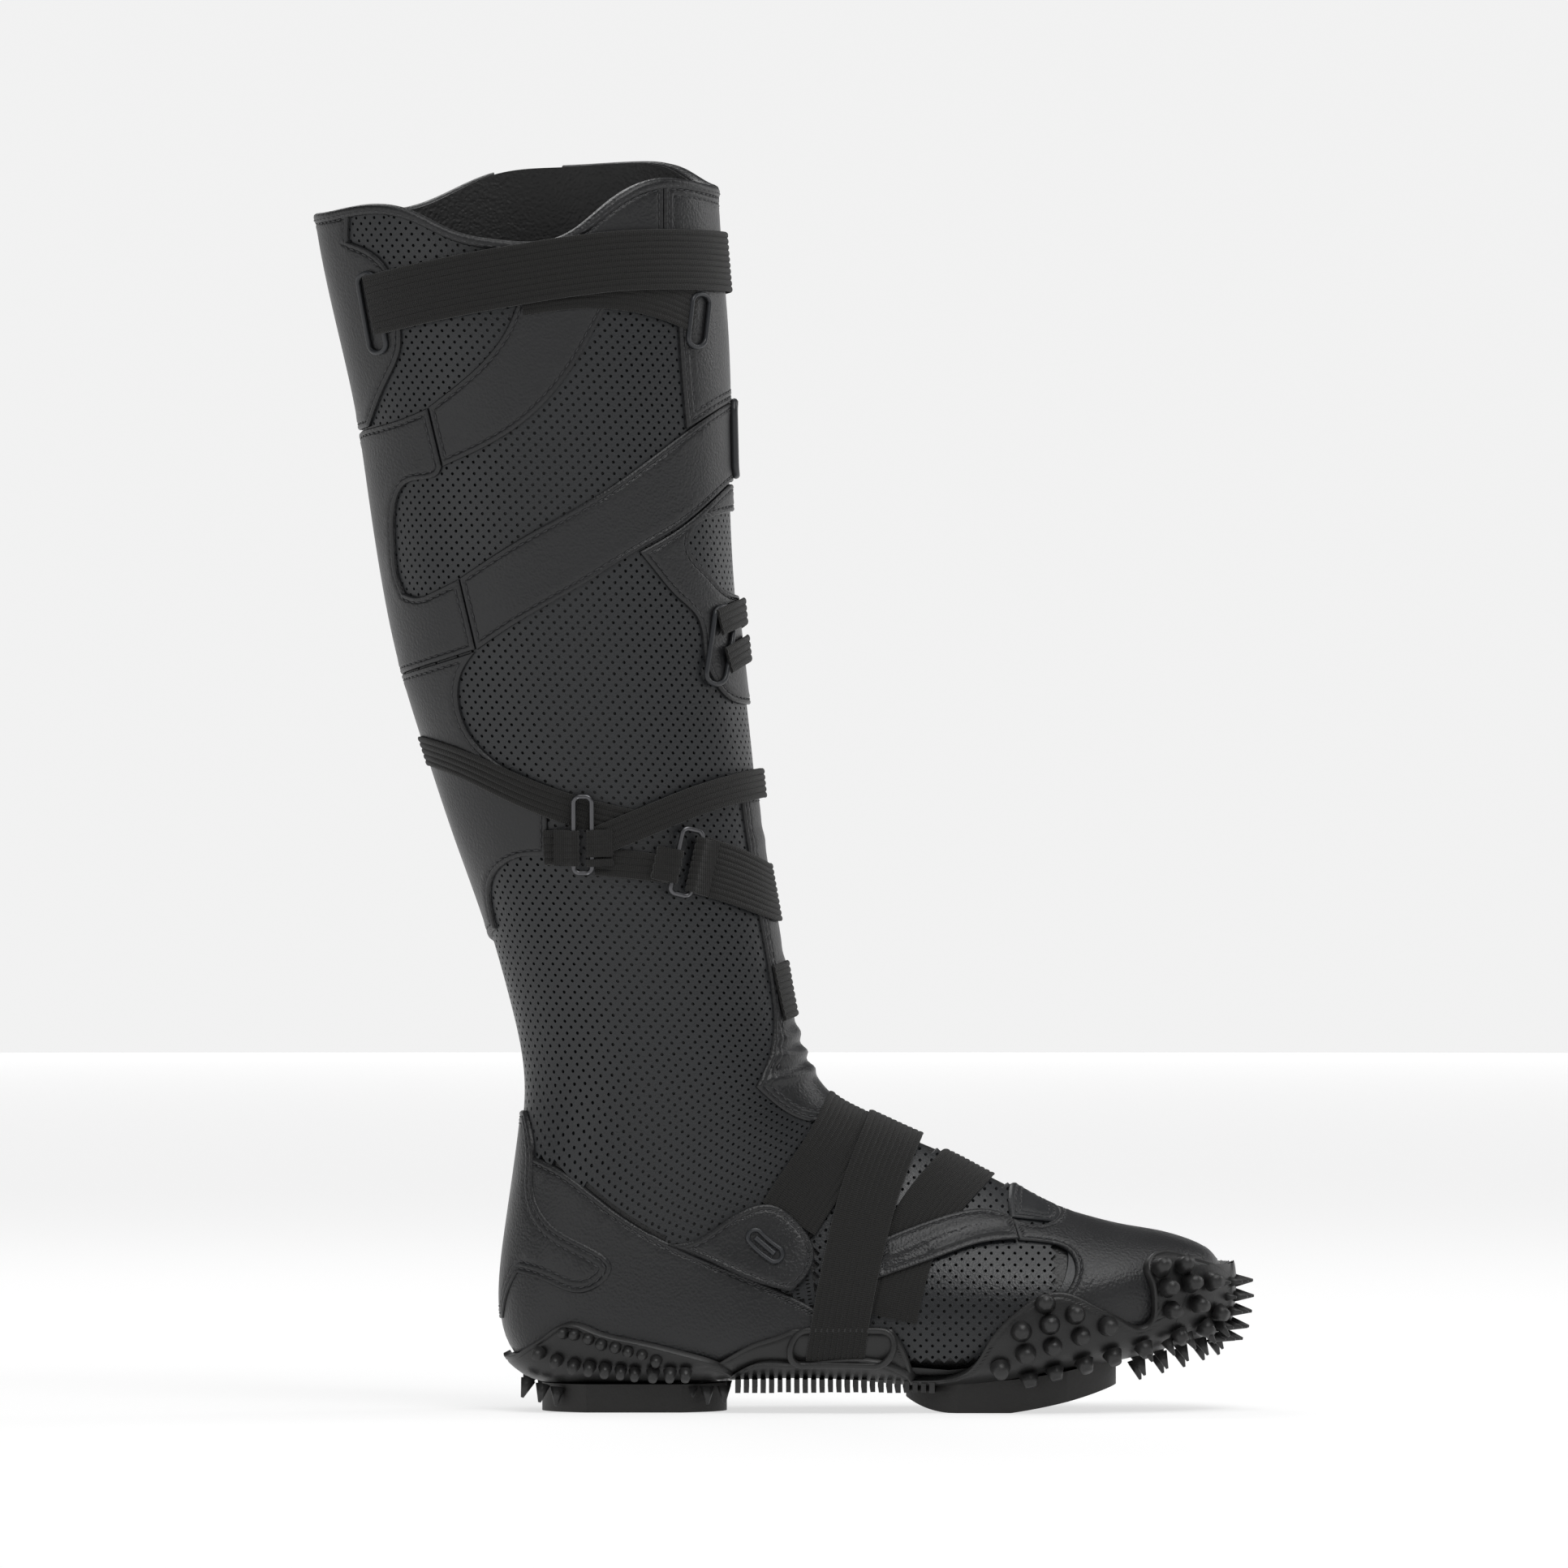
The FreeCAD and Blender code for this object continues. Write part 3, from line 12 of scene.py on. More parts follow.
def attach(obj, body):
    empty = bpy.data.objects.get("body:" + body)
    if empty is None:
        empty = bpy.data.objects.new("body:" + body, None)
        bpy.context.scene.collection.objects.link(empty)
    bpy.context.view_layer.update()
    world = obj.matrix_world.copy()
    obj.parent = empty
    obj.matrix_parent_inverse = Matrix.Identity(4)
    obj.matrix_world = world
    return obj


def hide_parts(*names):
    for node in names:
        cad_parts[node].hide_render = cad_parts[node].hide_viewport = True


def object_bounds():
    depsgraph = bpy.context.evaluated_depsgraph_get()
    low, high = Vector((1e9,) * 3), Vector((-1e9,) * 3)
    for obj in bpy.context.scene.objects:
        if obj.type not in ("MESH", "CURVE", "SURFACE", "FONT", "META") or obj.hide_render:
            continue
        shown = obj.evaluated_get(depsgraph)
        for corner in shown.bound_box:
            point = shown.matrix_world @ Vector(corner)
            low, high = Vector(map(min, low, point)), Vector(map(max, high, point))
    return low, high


bl_info = {
    "name": "Riding Boot",
    "version": (1, 0, 0),
    "blender": (4, 5, 0),
    "location": "View3D > Sidebar > Boot",
    "description": "Builds a tall perforated leather riding boot piece by piece",
    "category": "Add Mesh",
}

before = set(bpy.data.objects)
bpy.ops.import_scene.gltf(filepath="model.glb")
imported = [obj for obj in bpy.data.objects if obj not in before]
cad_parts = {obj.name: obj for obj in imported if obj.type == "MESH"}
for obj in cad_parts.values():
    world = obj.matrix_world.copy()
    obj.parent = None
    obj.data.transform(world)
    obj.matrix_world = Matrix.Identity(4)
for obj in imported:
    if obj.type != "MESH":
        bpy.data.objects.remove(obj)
SOLID_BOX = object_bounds()

# ------------------------------------------------------------------ form of the boot
# Lengths are in millimetres until a mesh is made. The pattern's sizes come first.
PATTERN_TOP = 447.0
PATTERN_TOE = 213.0
ANKLE_Z = 144.0
SCALE_X = SOLID_BOX[1][0] * 1000 / PATTERN_TOE
SCALE_Z = (SOLID_BOX[1][2] * 1000 - ANKLE_Z) / (PATTERN_TOP - ANKLE_Z)

# Offsets of the layers from the inside of the lining.
LINING = (0.0, 2.1)
SKIN = (2.4, 3.4)
OVER = (3.5, 4.7)
STRAP = (5.0, 6.0)
STRAP2 = (6.3, 7.3)
RING_LEVEL = 7.55
LOW_STRAP = (3.5, 4.5)
RETURN_STRAP = (4.75, 5.5)
MID_STRAP = (4.5, 5.5)
BAND = (4.6, 5.8)
WING = (4.6, 6.2)
RUBBER = (5.0, 8.0)
ARCH = (5.0, 6.2)
APRON = (5.0, 8.2)

STATIONS = [
    ((-118, 462), (29, 462), (51, 52), 0.50, (2.0, 2.0), 0, 0),
    ((-113, 418), (31, 418), (50, 50), 0.50, (2.0, 2.0), 0, 0),
    ((-106.7, 388), (33.4, 388), (50, 49), 0.50, (2.0, 2.0), 0, 0),
    ((-99.8, 357), (34.6, 357), (49.5, 48), 0.50, (2.0, 2.0), 0, 0),
    ((-95.2, 327), (35.3, 327), (48.5, 46.8), 0.50, (2.0, 2.0), 0, 0),
    ((-90.4, 296), (36.8, 296), (47, 45.4), 0.49, (2.0, 2.0), 0, 0),
    ((-84.1, 266), (39.8, 266), (45.3, 44), 0.48, (2.0, 2.0), 0, 0),
    ((-74.8, 235.5), (43.2, 235.5), (43.3, 42.4), 0.47, (2.0, 2.0), 0, 0),
    ((-64.7, 205), (46.6, 205), (41.3, 40.9), 0.47, (2.0, 2.0), 0, 0),
    ((-53.9, 174.6), (51.8, 174.6), (39.3, 39.4), 0.47, (2.0, 2.0), 0, 0),
    ((-45.2, 144), (57, 144), (37.4, 37.8), 0.47, (2.0, 2.0), 0, 0),
    ((-40.6, 116), (63, 124), (36.2, 36.8), 0.46, (2.1, 2.0), 0, 0),
    ((-42.6, 92), (70.5, 113.5), (35.6, 36.4), 0.45, (2.2, 2.0), 0, 0),
    ((-46, 68), (79.5, 108), (35.2, 36.2), 0.43, (2.3, 2.0), 0, 0),
    ((-48.6, 44), (90, 103), (35, 36), 0.41, (2.5, 1.95), 0, 0),
    ((-46, 25), (101, 98), (35.4, 36.2), 0.40, (2.8, 1.9), 0, 0),
    ((-35, 13.5), (112.5, 93.2), (36.2, 36.8), 0.40, (3.1, 1.85), 0, 0),
    ((-12, 11), (124, 87.3), (37.4, 37.6), 0.39, (3.4, 1.85), 0, 0),
    ((20, 12), (135, 81.7), (39.5, 38.8), 0.37, (3.6, 1.85), 0, 0),
    ((52, 13.5), (144, 76.6), (42, 41), 0.35, (3.6, 1.85), 0, 0),
    ((84, 13), (153, 72.3), (44.4, 43.6), 0.34, (3.6, 1.9), 0.5, 0),
    ((112, 11), (163, 69.2), (46, 45.4), 0.34, (3.6, 2.0), 1, 0),
    ((138, 13.5), (175, 66.3), (45.6, 45.6), 0.34, (3.5, 2.1), 2, 0.1),
    ((160, 18), (187, 64.2), (42.6, 43.6), 0.35, (3.3, 2.2), 3.5, 0.25),
    ((180, 22.5), (197.5, 61.2), (36.6, 38.6), 0.36, (3.0, 2.2), 5, 0.5),
    ((197, 27.8), (205.7, 56.8), (27.5, 30), 0.40, (2.6, 2.2), 6.5, 0.8),
    ((208.5, 32), (209.8, 51), (15.5, 17), 0.45, (2.2, 2.1), 7.5, 1.0),
]
ROUND_POINTS = 16
COLUMNS = 400
ROWS = 720

COLLAR_L = [(-116, 427), (-113, 427), (-99, 429), (-82, 427.5), (-64.5, 419.5),
            (-47, 416), (-26.5, 417), (-6.5, 431), (11, 438.5), (31, 436.5), (34, 436.2)]
COLLAR_M = [(-116, 427), (-113, 427.5), (-80.5, 431.5), (-53, 443), (-24, 446),
            (-0.5, 447), (18, 444.5), (31, 437), (34, 436.2)]
HEEL_SEAM = [(-46, 92.5), (-37, 90.5), (-6.5, 71), (12, 60.5), (55, 42), (66, 36)]
VAMP_SEAM = [(80, 109), (66, 95), (63, 70), (66, 36)]
TOE_SEAM = [(150, 75.5), (152, 74), (157, 55), (150, 39), (121, 14)]
FLEX_SEAM = [(38.5, 222), (41, 204), (46, 173), (50.5, 144), (49.5, 128), (44, 116)]
ZIP_TOP = (-38, 437)
ZIP_FOOT = (6, 112)
ZIP_HALF = 13.0
LAT, MED = -1, 1


def graded(points):
    """Pattern points to this boot's size."""
    p = np.array(points, float).reshape(-1, 2)
    p[:, 0] *= SCALE_X
    high = p[:, 1] > ANKLE_Z
    p[high, 1] = ANKLE_Z + (p[high, 1] - ANKLE_Z) * SCALE_Z
    return p


def cubic_weights(knots, places, closed):
    """Weights that turn values at the knots into cubic spline values at the places."""
    knots = np.asarray(knots, float)
    places = np.asarray(places, float)
    count = len(knots) - 1 if closed else len(knots)
    gaps = np.diff(knots)
    left = np.zeros((count, count))
    right = np.zeros((count, count))
    for i in range(count):
        if not closed and i in (0, count - 1):
            left[i, i] = 1
            continue
        before, after = (i - 1) % count, (i + 1) % count
        g0, g1 = gaps[i - 1], gaps[i]
        left[i, before] += g0
        left[i, i] += 2 * (g0 + g1)
        left[i, after] += g1
        right[i, before] += 6 / g0
        right[i, i] -= 6 / g0 + 6 / g1
        right[i, after] += 6 / g1
    bend = np.linalg.solve(left, right)
    span = np.clip(np.searchsorted(knots, places, "right") - 1, 0, len(gaps) - 1)
    t = places - knots[span]
    g = gaps[span]
    s = g - t
    low, high = span % count, (span + 1) % count
    weights = ((s ** 3 / g - s * g) / 6)[:, None] * bend[low] + ((t ** 3 / g - t * g) / 6)[:, None] * bend[high]
    rows = np.arange(len(places))
    weights[rows, low] += s / g
    weights[rows, high] += t / g
    return weights


def section(station, grow):
    rear, front, widths, widest, rounding, shift, forward = station
    low, high = (np.array((p[0], 0, p[1])) for p in graded([rear, front]))
    along = (high - low) / np.linalg.norm(high - low)
    low, high = low - along * grow, high + along * grow
    length = np.linalg.norm(high - low)
    points = []
    for i in range(ROUND_POINTS):
        angle, quarter = 2 * math.pi * i / ROUND_POINTS, 4 * i / ROUND_POINTS
        in_rear = quarter < 1 or quarter > 3
        power = 2.0 / (rounding[0] if in_rear else rounding[1])
        reach = 0.0 if quarter in (1, 3) else abs(math.cos(angle)) ** power
        bulge = 0.0 if quarter in (0, 2) else abs(math.sin(angle)) ** power
        place = widest * (1 - reach) if in_rear else widest + (1 - widest) * reach
        side = LAT if quarter < 2 else MED
        half = (widths[0] if side < 0 else widths[1]) + grow
        points.append(low + along * place * length + (forward * grow, side * half * bulge + shift, 0))
    return points


def spacing(rows):
    steps = np.linalg.norm(np.diff(rows, axis=1), axis=2).mean(axis=0)
    places = np.concatenate([[0.0], np.cumsum(steps)])
    return places / places[-1], places[-1]


def build_form():
    """Grids of the form at the overlay's outside, and of its growth per millimetre of offset."""
    flat = np.array([section(s, 0.0) for s in STATIONS])
    grown = np.array([section(s, 1.0) for s in STATIONS])
    round_places, girth = spacing(np.concatenate([flat, flat[:, :1]], axis=1))
    long_places, length = spacing(flat.transpose(1, 0, 2))
    across = cubic_weights(round_places, np.arange(COLUMNS + 1) / COLUMNS, True)
    down = cubic_weights(long_places, np.linspace(0, 1, ROWS), False)
    base = np.einsum("ri,ijk,cj->rck", down, flat, across)
    grow = np.einsum("ri,ijk,cj->rck", down, grown - flat, across)
    return base, grow, round_places[8], girth, length


BASE, GROW, FRONT_U, GIRTH, LENGTH = build_form()


def on_form(u, v, offset):
    """Points of the form: u in turns round it from the rear, v from 0 at the top to 1 at the toe."""
    u, v = np.broadcast_arrays(np.asarray(u, float), np.asarray(v, float))
    gu = (u % 1.0) * COLUMNS
    gv = np.clip(v, 0, 1) * (ROWS - 1)
    c = np.clip(gu.astype(int), 0, COLUMNS - 1)
    r = np.clip(gv.astype(int), 0, ROWS - 2)
    fu, fv = (gu - c)[..., None], (gv - r)[..., None]
    offset = np.broadcast_to(np.asarray(offset, float), u.shape)[..., None] - OVER[1]

    def mixed(grid):
        top = grid[r, c] * (1 - fu) + grid[r, c + 1] * fu
        low = grid[r + 1, c] * (1 - fu) + grid[r + 1, c + 1] * fu
        return top * (1 - fv) + low * fv
    return mixed(BASE) + mixed(GROW) * offset


def slopes(u, v, offset):
    """Change of a point of the form per unit of u and of v."""
    du, dv = 1.5 / COLUMNS, 1.5 / ROWS
    above, below = np.clip(v - dv, 0, 1), np.clip(v + dv, 0, 1)
    pu = (on_form(u + du, v, offset) - on_form(u - du, v, offset)) / (2 * du)
    pv = (on_form(u, below, offset) - on_form(u, above, offset)) / (below - above)[..., None]
    return pu, pv


def outward(u, v, offset=4.7):
    pu, pv = slopes(u, v, offset)
    normal = np.cross(pv, pu)
    return normal / np.linalg.norm(normal, axis=-1, keepdims=True)


# The way that u and v turn, seen from outside.
HANDED = 1.0 if (outward(np.array([0.25]), np.array([0.3]))[0, 1] < 0) else -1.0


def normals(u, v, offset=4.7):
    return outward(u, v, offset) * HANDED


def step_on(u, v, offset, move):
    """Changes of u and v for a small move along the surface."""
    pu, pv = slopes(u, v, offset)
    a, b, c = (pu * pu).sum(-1), (pu * pv).sum(-1), (pv * pv).sum(-1)
    p, q = (pu * move).sum(-1), (pv * move).sum(-1)
    det = np.maximum(a * c - b * b, 1e-6)
    return (c * p - b * q) / det, (a * q - b * p) / det


def locate(points, side, offset=4.7):
    """u and v of side-view points on one side; points outside the form go to its rim."""
    want = graded(points)
    first, last = (0, round(FRONT_U * COLUMNS)) if side == LAT else (round(FRONT_U * COLUMNS), COLUMNS)
    cols, rows = np.arange(first, last + 1, 4), np.arange(0, ROWS, 4)
    grid = (BASE + (offset - OVER[1]) * GROW)[np.ix_(rows, cols)][:, :, [0, 2]].reshape(-1, 2)
    near = np.concatenate([((some[:, None] - grid[None]) ** 2).sum(-1).argmin(1)
                           for some in np.array_split(want, len(want) // 150 + 1)])
    u, v = cols[near % len(cols)] / COLUMNS, rows[near // len(cols)] / (ROWS - 1)
    low, high = first / COLUMNS, last / COLUMNS
    for _ in range(14):
        pu, pv = slopes(u, v, offset)
        gap = want - on_form(u, v, offset)[:, [0, 2]]
        pu, pv = pu[:, [0, 2]], pv[:, [0, 2]]
        damp = 4.0
        a, b, c = (pu * pu).sum(-1) + damp, (pu * pv).sum(-1), (pv * pv).sum(-1) + damp
        p, q = (pu * gap).sum(-1), (pv * gap).sum(-1)
        det = a * c - b * b
        u = np.clip(u + np.clip((c * p - b * q) / det, -0.02, 0.02), low, high)
        v = np.clip(v + np.clip((a * q - b * p) / det, -0.02, 0.02), 0, 1)
    return np.stack([u, v], 1)


# ------------------------------------------------------------------ outlines in u and v
def smoothed(points, step=1.2):
    """A rounded line through points, or straight between two."""
    p = np.array(points, float)
    if len(p) == 2:
        count = max(2, int(np.linalg.norm(p[1] - p[0]) / step) + 1)
        t = np.linspace(0, 1, count)[:, None]
        return p[0] * (1 - t) + p[1] * t
    places = np.concatenate([[0], np.cumsum(np.linalg.norm(np.diff(p, axis=0), axis=1))])
    count = max(4, int(places[-1] / step) + 1)
    return cubic_weights(places, np.linspace(0, places[-1], count), False) @ p


def measured(line, offset=4.7):
    """Distance along a line of u and v."""
    p = on_form(line[:, 0], line[:, 1], offset)
    return np.concatenate([[0], np.cumsum(np.linalg.norm(np.diff(p, axis=0), axis=1))])


def respaced(line, step, offset=4.7):
    places = measured(line, offset)
    keep = np.concatenate([[True], np.diff(places) > 1e-6])
    places, line = places[keep], line[keep]
    count = max(2, int(round(places[-1] / step)) + 1)
    want = np.linspace(0, places[-1], count)
    return np.stack([np.interp(want, places, line[:, k]) for k in (0, 1)], 1)


def path(*runs, wrap=False):
    """Runs of (side, points) as one line of u and v. With wrap, the medial side is met past the rear."""
    lines = []
    for side, points in runs:
        line = locate(smoothed(points), side)
        if side == MED and wrap:
            line[:, 0] -= 1.0
        lines.append(line)
    return lines


def outline(*runs, wrap=False, step=1.2):
    """A closed outline in u and v; corners stay at the runs' ends."""
    lines = path(*runs, wrap=wrap)
    corners = []
    for i, line in enumerate(lines):
        after = lines[(i + 1) % len(lines)]
        corners.append(respaced(line, step)[:-1])
        joint = np.stack([line[-1], after[0]])
        if measured(joint)[-1] > 0.3:
            corners.append(respaced(joint, step)[:-1])
        else:
            corners.append(line[-1:])
    loop = np.concatenate(corners)
    apart = np.linalg.norm(on_form(loop[:, 0], loop[:, 1], 4.7)
                           - on_form(*np.roll(loop, -1, axis=0).T, 4.7), axis=1)
    loop = loop[apart > 0.25]
    area = (loop[:, 0] * np.roll(loop[:, 1], -1) - loop[:, 1] * np.roll(loop[:, 0], -1)).sum()
    return loop if area > 0 else loop[::-1].copy()


def inset(loop, depth, offset=4.7):
    """A closed outline, anticlockwise in u and v, moved inwards by a depth."""
    u, v = loop[:, 0], loop[:, 1]
    p = on_form(u, v, offset)
    ahead, behind = np.roll(p, -1, axis=0) - p, p - np.roll(p, 1, axis=0)
    ahead /= np.linalg.norm(ahead, axis=1, keepdims=True)
    behind /= np.linalg.norm(behind, axis=1, keepdims=True)
    tangent = ahead + behind
    tangent /= np.maximum(np.linalg.norm(tangent, axis=1, keepdims=True), 1e-6)
    pu, pv = slopes(u, v, offset)
    face = np.cross(pu, pv)
    face /= np.linalg.norm(face, axis=1, keepdims=True)
    inward = np.cross(face, tangent)
    half = np.sqrt(np.clip((1 + (ahead * behind).sum(1)) / 2, 0.25, 1))
    du, dv = step_on(u, v, offset, inward * (depth / half)[:, None])
    return np.stack([u + du, v + dv], 1)


def edge_distance(points, loop, offset=4.7):
    """Distance over the surface from points to an outline, in millimetres."""
    p = on_form(points[:, 0], points[:, 1], offset)
    a = on_form(loop[:, 0], loop[:, 1], offset)
    d = np.roll(a, -1, axis=0) - a
    size = np.maximum((d * d).sum(1), 1e-9)
    best = np.full(len(p), 1e9)
    for start in range(0, len(p), 2000):
        some = p[start:start + 2000, None] - a[None]
        t = np.clip((some * d).sum(-1) / size, 0, 1)[..., None]
        best[start:start + 2000] = np.linalg.norm(some - d * t, axis=-1).min(1)
    return best


def within(points, loop):
    """Which points of u and v lie inside a closed outline."""
    x, y = points[:, 0], points[:, 1]
    inside = np.zeros(len(points), bool)
    for (x0, y0), (x1, y1) in zip(loop, np.roll(loop, -1, axis=0)):
        if y0 == y1:
            continue
        crosses = (y0 > y) != (y1 > y)
        inside ^= crosses & (x < (x1 - x0) * (y - y0) / (y1 - y0) + x0)
    return inside


# ------------------------------------------------------------------ meshes
def thickened(top, bottom, faces):
    """Closed sheet between two surfaces with the same triangles."""
    faces = np.asarray(faces, np.int64)
    count = len(top)
    starts, ends = faces.ravel(), np.roll(faces, -1, axis=1).ravel()
    keys, back = starts * count + ends, ends * count + starts
    rim = ~np.isin(keys, back)
    a, b = starts[rim], ends[rim]
    walls = np.stack([b, a, a + count, b + count], 1)
    verts = np.concatenate([top, bottom])
    return verts, faces.tolist() + (faces[:, ::-1] + count).tolist() + walls.tolist()


def make(name, verts, faces, material, nodes=(), body="boot", uv=None, sharp=38):
    """A finished mesh object from millimetre vertices."""
    mesh = bpy.data.meshes.new(name)
    mesh.from_pydata((np.asarray(verts) * 0.001).tolist(), [], faces)
    mesh.validate()
    if uv is not None:
        layer = mesh.uv_layers.new(name="UVMap")
        index = np.zeros(len(mesh.loops), np.int64)
        mesh.loops.foreach_get("vertex_index", index)
        layer.data.foreach_set("uv", (np.asarray(uv)[index] * 0.001).astype(np.float32).ravel())
    mesh.polygons.foreach_set("use_smooth", [True] * len(mesh.polygons))
    mesh.set_sharp_from_angle(angle=math.radians(sharp))
    mesh.materials.append(material)
    mesh.update()
    piece = bpy.data.objects.new(name, mesh)
    bpy.context.scene.collection.objects.link(piece)
    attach(piece, body)
    if nodes:
        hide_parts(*nodes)
    return piece


def merged(pieces):
    """Several (verts, faces) as one."""
    verts, faces, base = [], [], 0
    for v, f in pieces:
        verts.append(v)
        faces += [[i + base for i in face] for face in f]
        base += len(v)
    return np.concatenate(verts), faces


def patch(loop, layer=OVER, groove=2.0, grid=2.6, lift=None, puff=0.22, second=None):
    """Leather piece inside an outline: rounded rim, pressed-in stitch line, soft middle."""
    rim_in = inset(loop, 0.45)
    rows = [inset(loop, d) for d in (1.1, 1.6, groove, groove + 0.45, groove + 1.1)]
    depths = [1.1, 1.6, groove, groove + 0.45, groove + 1.1]
    if second:
        rows += [inset(loop, d) for d in (second - 0.45, second, second + 0.5)]
        depths += [second - 0.45, second, second + 0.5]
    kept = []
    for d, row in zip(depths, rows):
        good = within(row, loop)
        good &= edge_distance(row, loop) > d * 0.94
        kept.append(row[good])
    low, high = loop.min(0), loop.max(0)
    du = grid / GIRTH
    dv = grid / LENGTH
    us, vs = np.arange(low[0], high[0], du), np.arange(low[1], high[1], dv * 0.9)
    lattice = np.stack(np.meshgrid(us, vs), -1)
    lattice[1::2, :, 0] += du / 2
    lattice = lattice.reshape(-1, 2)
    lattice = lattice[within(lattice, loop)]
    if len(lattice):
        lattice = lattice[edge_distance(lattice, loop) > depths[-1] + 0.9]
    points = np.concatenate([rim_in] + kept + [lattice])
    scale = np.array([GIRTH, LENGTH])
    count = len(rim_in)
    edges = [(i, (i + 1) % count) for i in range(count)]
    out = delaunay_2d_cdt([Vector(p) for p in points * scale], edges, [], 1, 1e-5)
    inner = np.array([tuple(p) for p in out[0]]) / scale
    tris = np.array([f for f in out[2]], np.int64)
    match = {}
    for new, old in enumerate(out[3]):
        for k in old:
            match[k] = new
    ring = np.array([match[i] for i in range(count)])
    inner_count = len(inner)
    outer = np.arange(count) + inner_count
    nxt = np.roll(np.arange(count), -1)
    band = np.concatenate([np.stack([outer, outer[nxt], ring[nxt]], 1), np.stack([outer, ring[nxt], ring], 1)])
    uvs = np.concatenate([inner, loop])
    faces = np.concatenate([tris, band])
    depth = edge_distance(uvs, loop)
    depth[inner_count:] = 0
    height = layer[1] + puff * np.exp(-((depth - 1.0) / 0.7) ** 2)
    height -= 0.34 * np.exp(-((depth - groove) / 0.38) ** 2)
    height += puff * 0.8 * np.exp(-((depth - groove - 1.3) / 0.9) ** 2)
    if second:
        height -= 0.3 * np.exp(-((depth - second) / 0.38) ** 2)
    height[inner_count:] = layer[1] - 0.35
    if lift is not None:
        height += lift(uvs, depth)
    top = on_form(uvs[:, 0], uvs[:, 1], height)
    bottom = on_form(uvs[:, 0], uvs[:, 1], layer[0])
    if HANDED > 0:
        faces = faces[:, ::-1]
    return thickened(top, bottom, faces)


def stitch_line(loop, depth, closed=True, keep=None):
    """Places, directions and outward ways of stitches at a depth inside an outline."""
    line = inset(loop, depth) if closed else loop
    good = np.ones(len(line), bool)
    if closed:
        good = edge_distance(line, loop) > depth * 0.95
    if keep is not None:
        good &= keep(line)
    runs, run = [], []
    order = list(range(len(line)))
    if closed and not good.all():
        start = int(np.argmin(good))
        order = order[start:] + order[:start]
    for i in order:
        if good[i]:
            run.append(line[i])
        elif run:
            runs.append(run)
            run = []
    if run:
        runs.append(run)
    if closed and good.all() and runs:
        runs[0].append(runs[0][0])
    return [np.array(r) for r in runs if len(r) > 2]


def thicken_ribbon(line, width, layer, ribs, step=1.6, per_rib=6, s0=None, taper=None):
    """Webbing along a line of u and v, with lengthwise ribs."""
    low, high = layer
    line = respaced(line, step, high)
    u, v = line[:, 0].copy(), line[:, 1].copy()
    p = on_form(u, v, high)
    t = np.gradient(p, axis=0)
    t /= np.linalg.norm(t, axis=1, keepdims=True)
    side = np.cross(normals(u, v, high), t)
    half = width / 2 if s0 is None else None
    start, end = (-half, half) if s0 is None else s0
    count = max(8, ribs * per_rib)
    offsets = np.linspace(start, end, count + 1)
    rows = {}
    middle = int(np.argmin(abs(offsets)))
    for way in (1, -1):
        cu, cv, way_side = u.copy(), v.copy(), side.copy()
        at = 0.0
        picks = range(middle, count + 1) if way > 0 else range(middle - 1, -1, -1)
        for k in picks:
            move = offsets[k] - at
            for _ in range(3):
                du, dv = step_on(cu, cv, high, way_side * (move / 3))
                cu, cv = cu + du, cv + dv
                n = normals(cu, cv, high)
                way_side = way_side - n * (way_side * n).sum(1, keepdims=True)
                way_side /= np.linalg.norm(way_side, axis=1, keepdims=True)
            at = offsets[k]
            rows[k] = (cu.copy(), cv.copy())
    us = np.stack([rows[k][0] for k in range(count + 1)], 1)
    vs = np.stack([rows[k][1] for k in range(count + 1)], 1)
    phase = (offsets - start) / (end - start)
    rib = np.abs(np.sin(phase * ribs * math.pi)) ** 0.7 if ribs > 1 else np.ones(len(phase))
    height = low + (high - low) * (0.55 + 0.45 * rib)
    height[0] = height[-1] = low + (high - low) * 0.45
    height = np.broadcast_to(height, us.shape).copy()
    if taper is not None:
        height += taper(us, vs)
    top = on_form(us, vs, height)
    bottom = on_form(us, vs, np.full(us.shape, low))
    nr, nc = us.shape
    index = np.arange(nr * nc).reshape(nr, nc)
    a, b, c, d = index[:-1, :-1].ravel(), index[1:, :-1].ravel(), index[1:, 1:].ravel(), index[:-1, 1:].ravel()
    faces = np.concatenate([np.stack([a, b, c], 1), np.stack([a, c, d], 1)])
    top, bottom = top.reshape(-1, 3), bottom.reshape(-1, 3)
    face = faces[len(faces) // 4]
    way = np.cross(top[face[1]] - top[face[0]], top[face[2]] - top[face[0]])
    out = normals(us.ravel()[face[:1]], vs.ravel()[face[:1]], high)[0]
    if (way * out).sum() < 0:
        faces = faces[:, ::-1]
    verts, all_faces = thickened(top, bottom, faces)
    lengths = measured(line, high)
    uv = np.stack(np.meshgrid(offsets, lengths), -1).reshape(-1, 2)
    return verts, all_faces, np.concatenate([uv, uv])


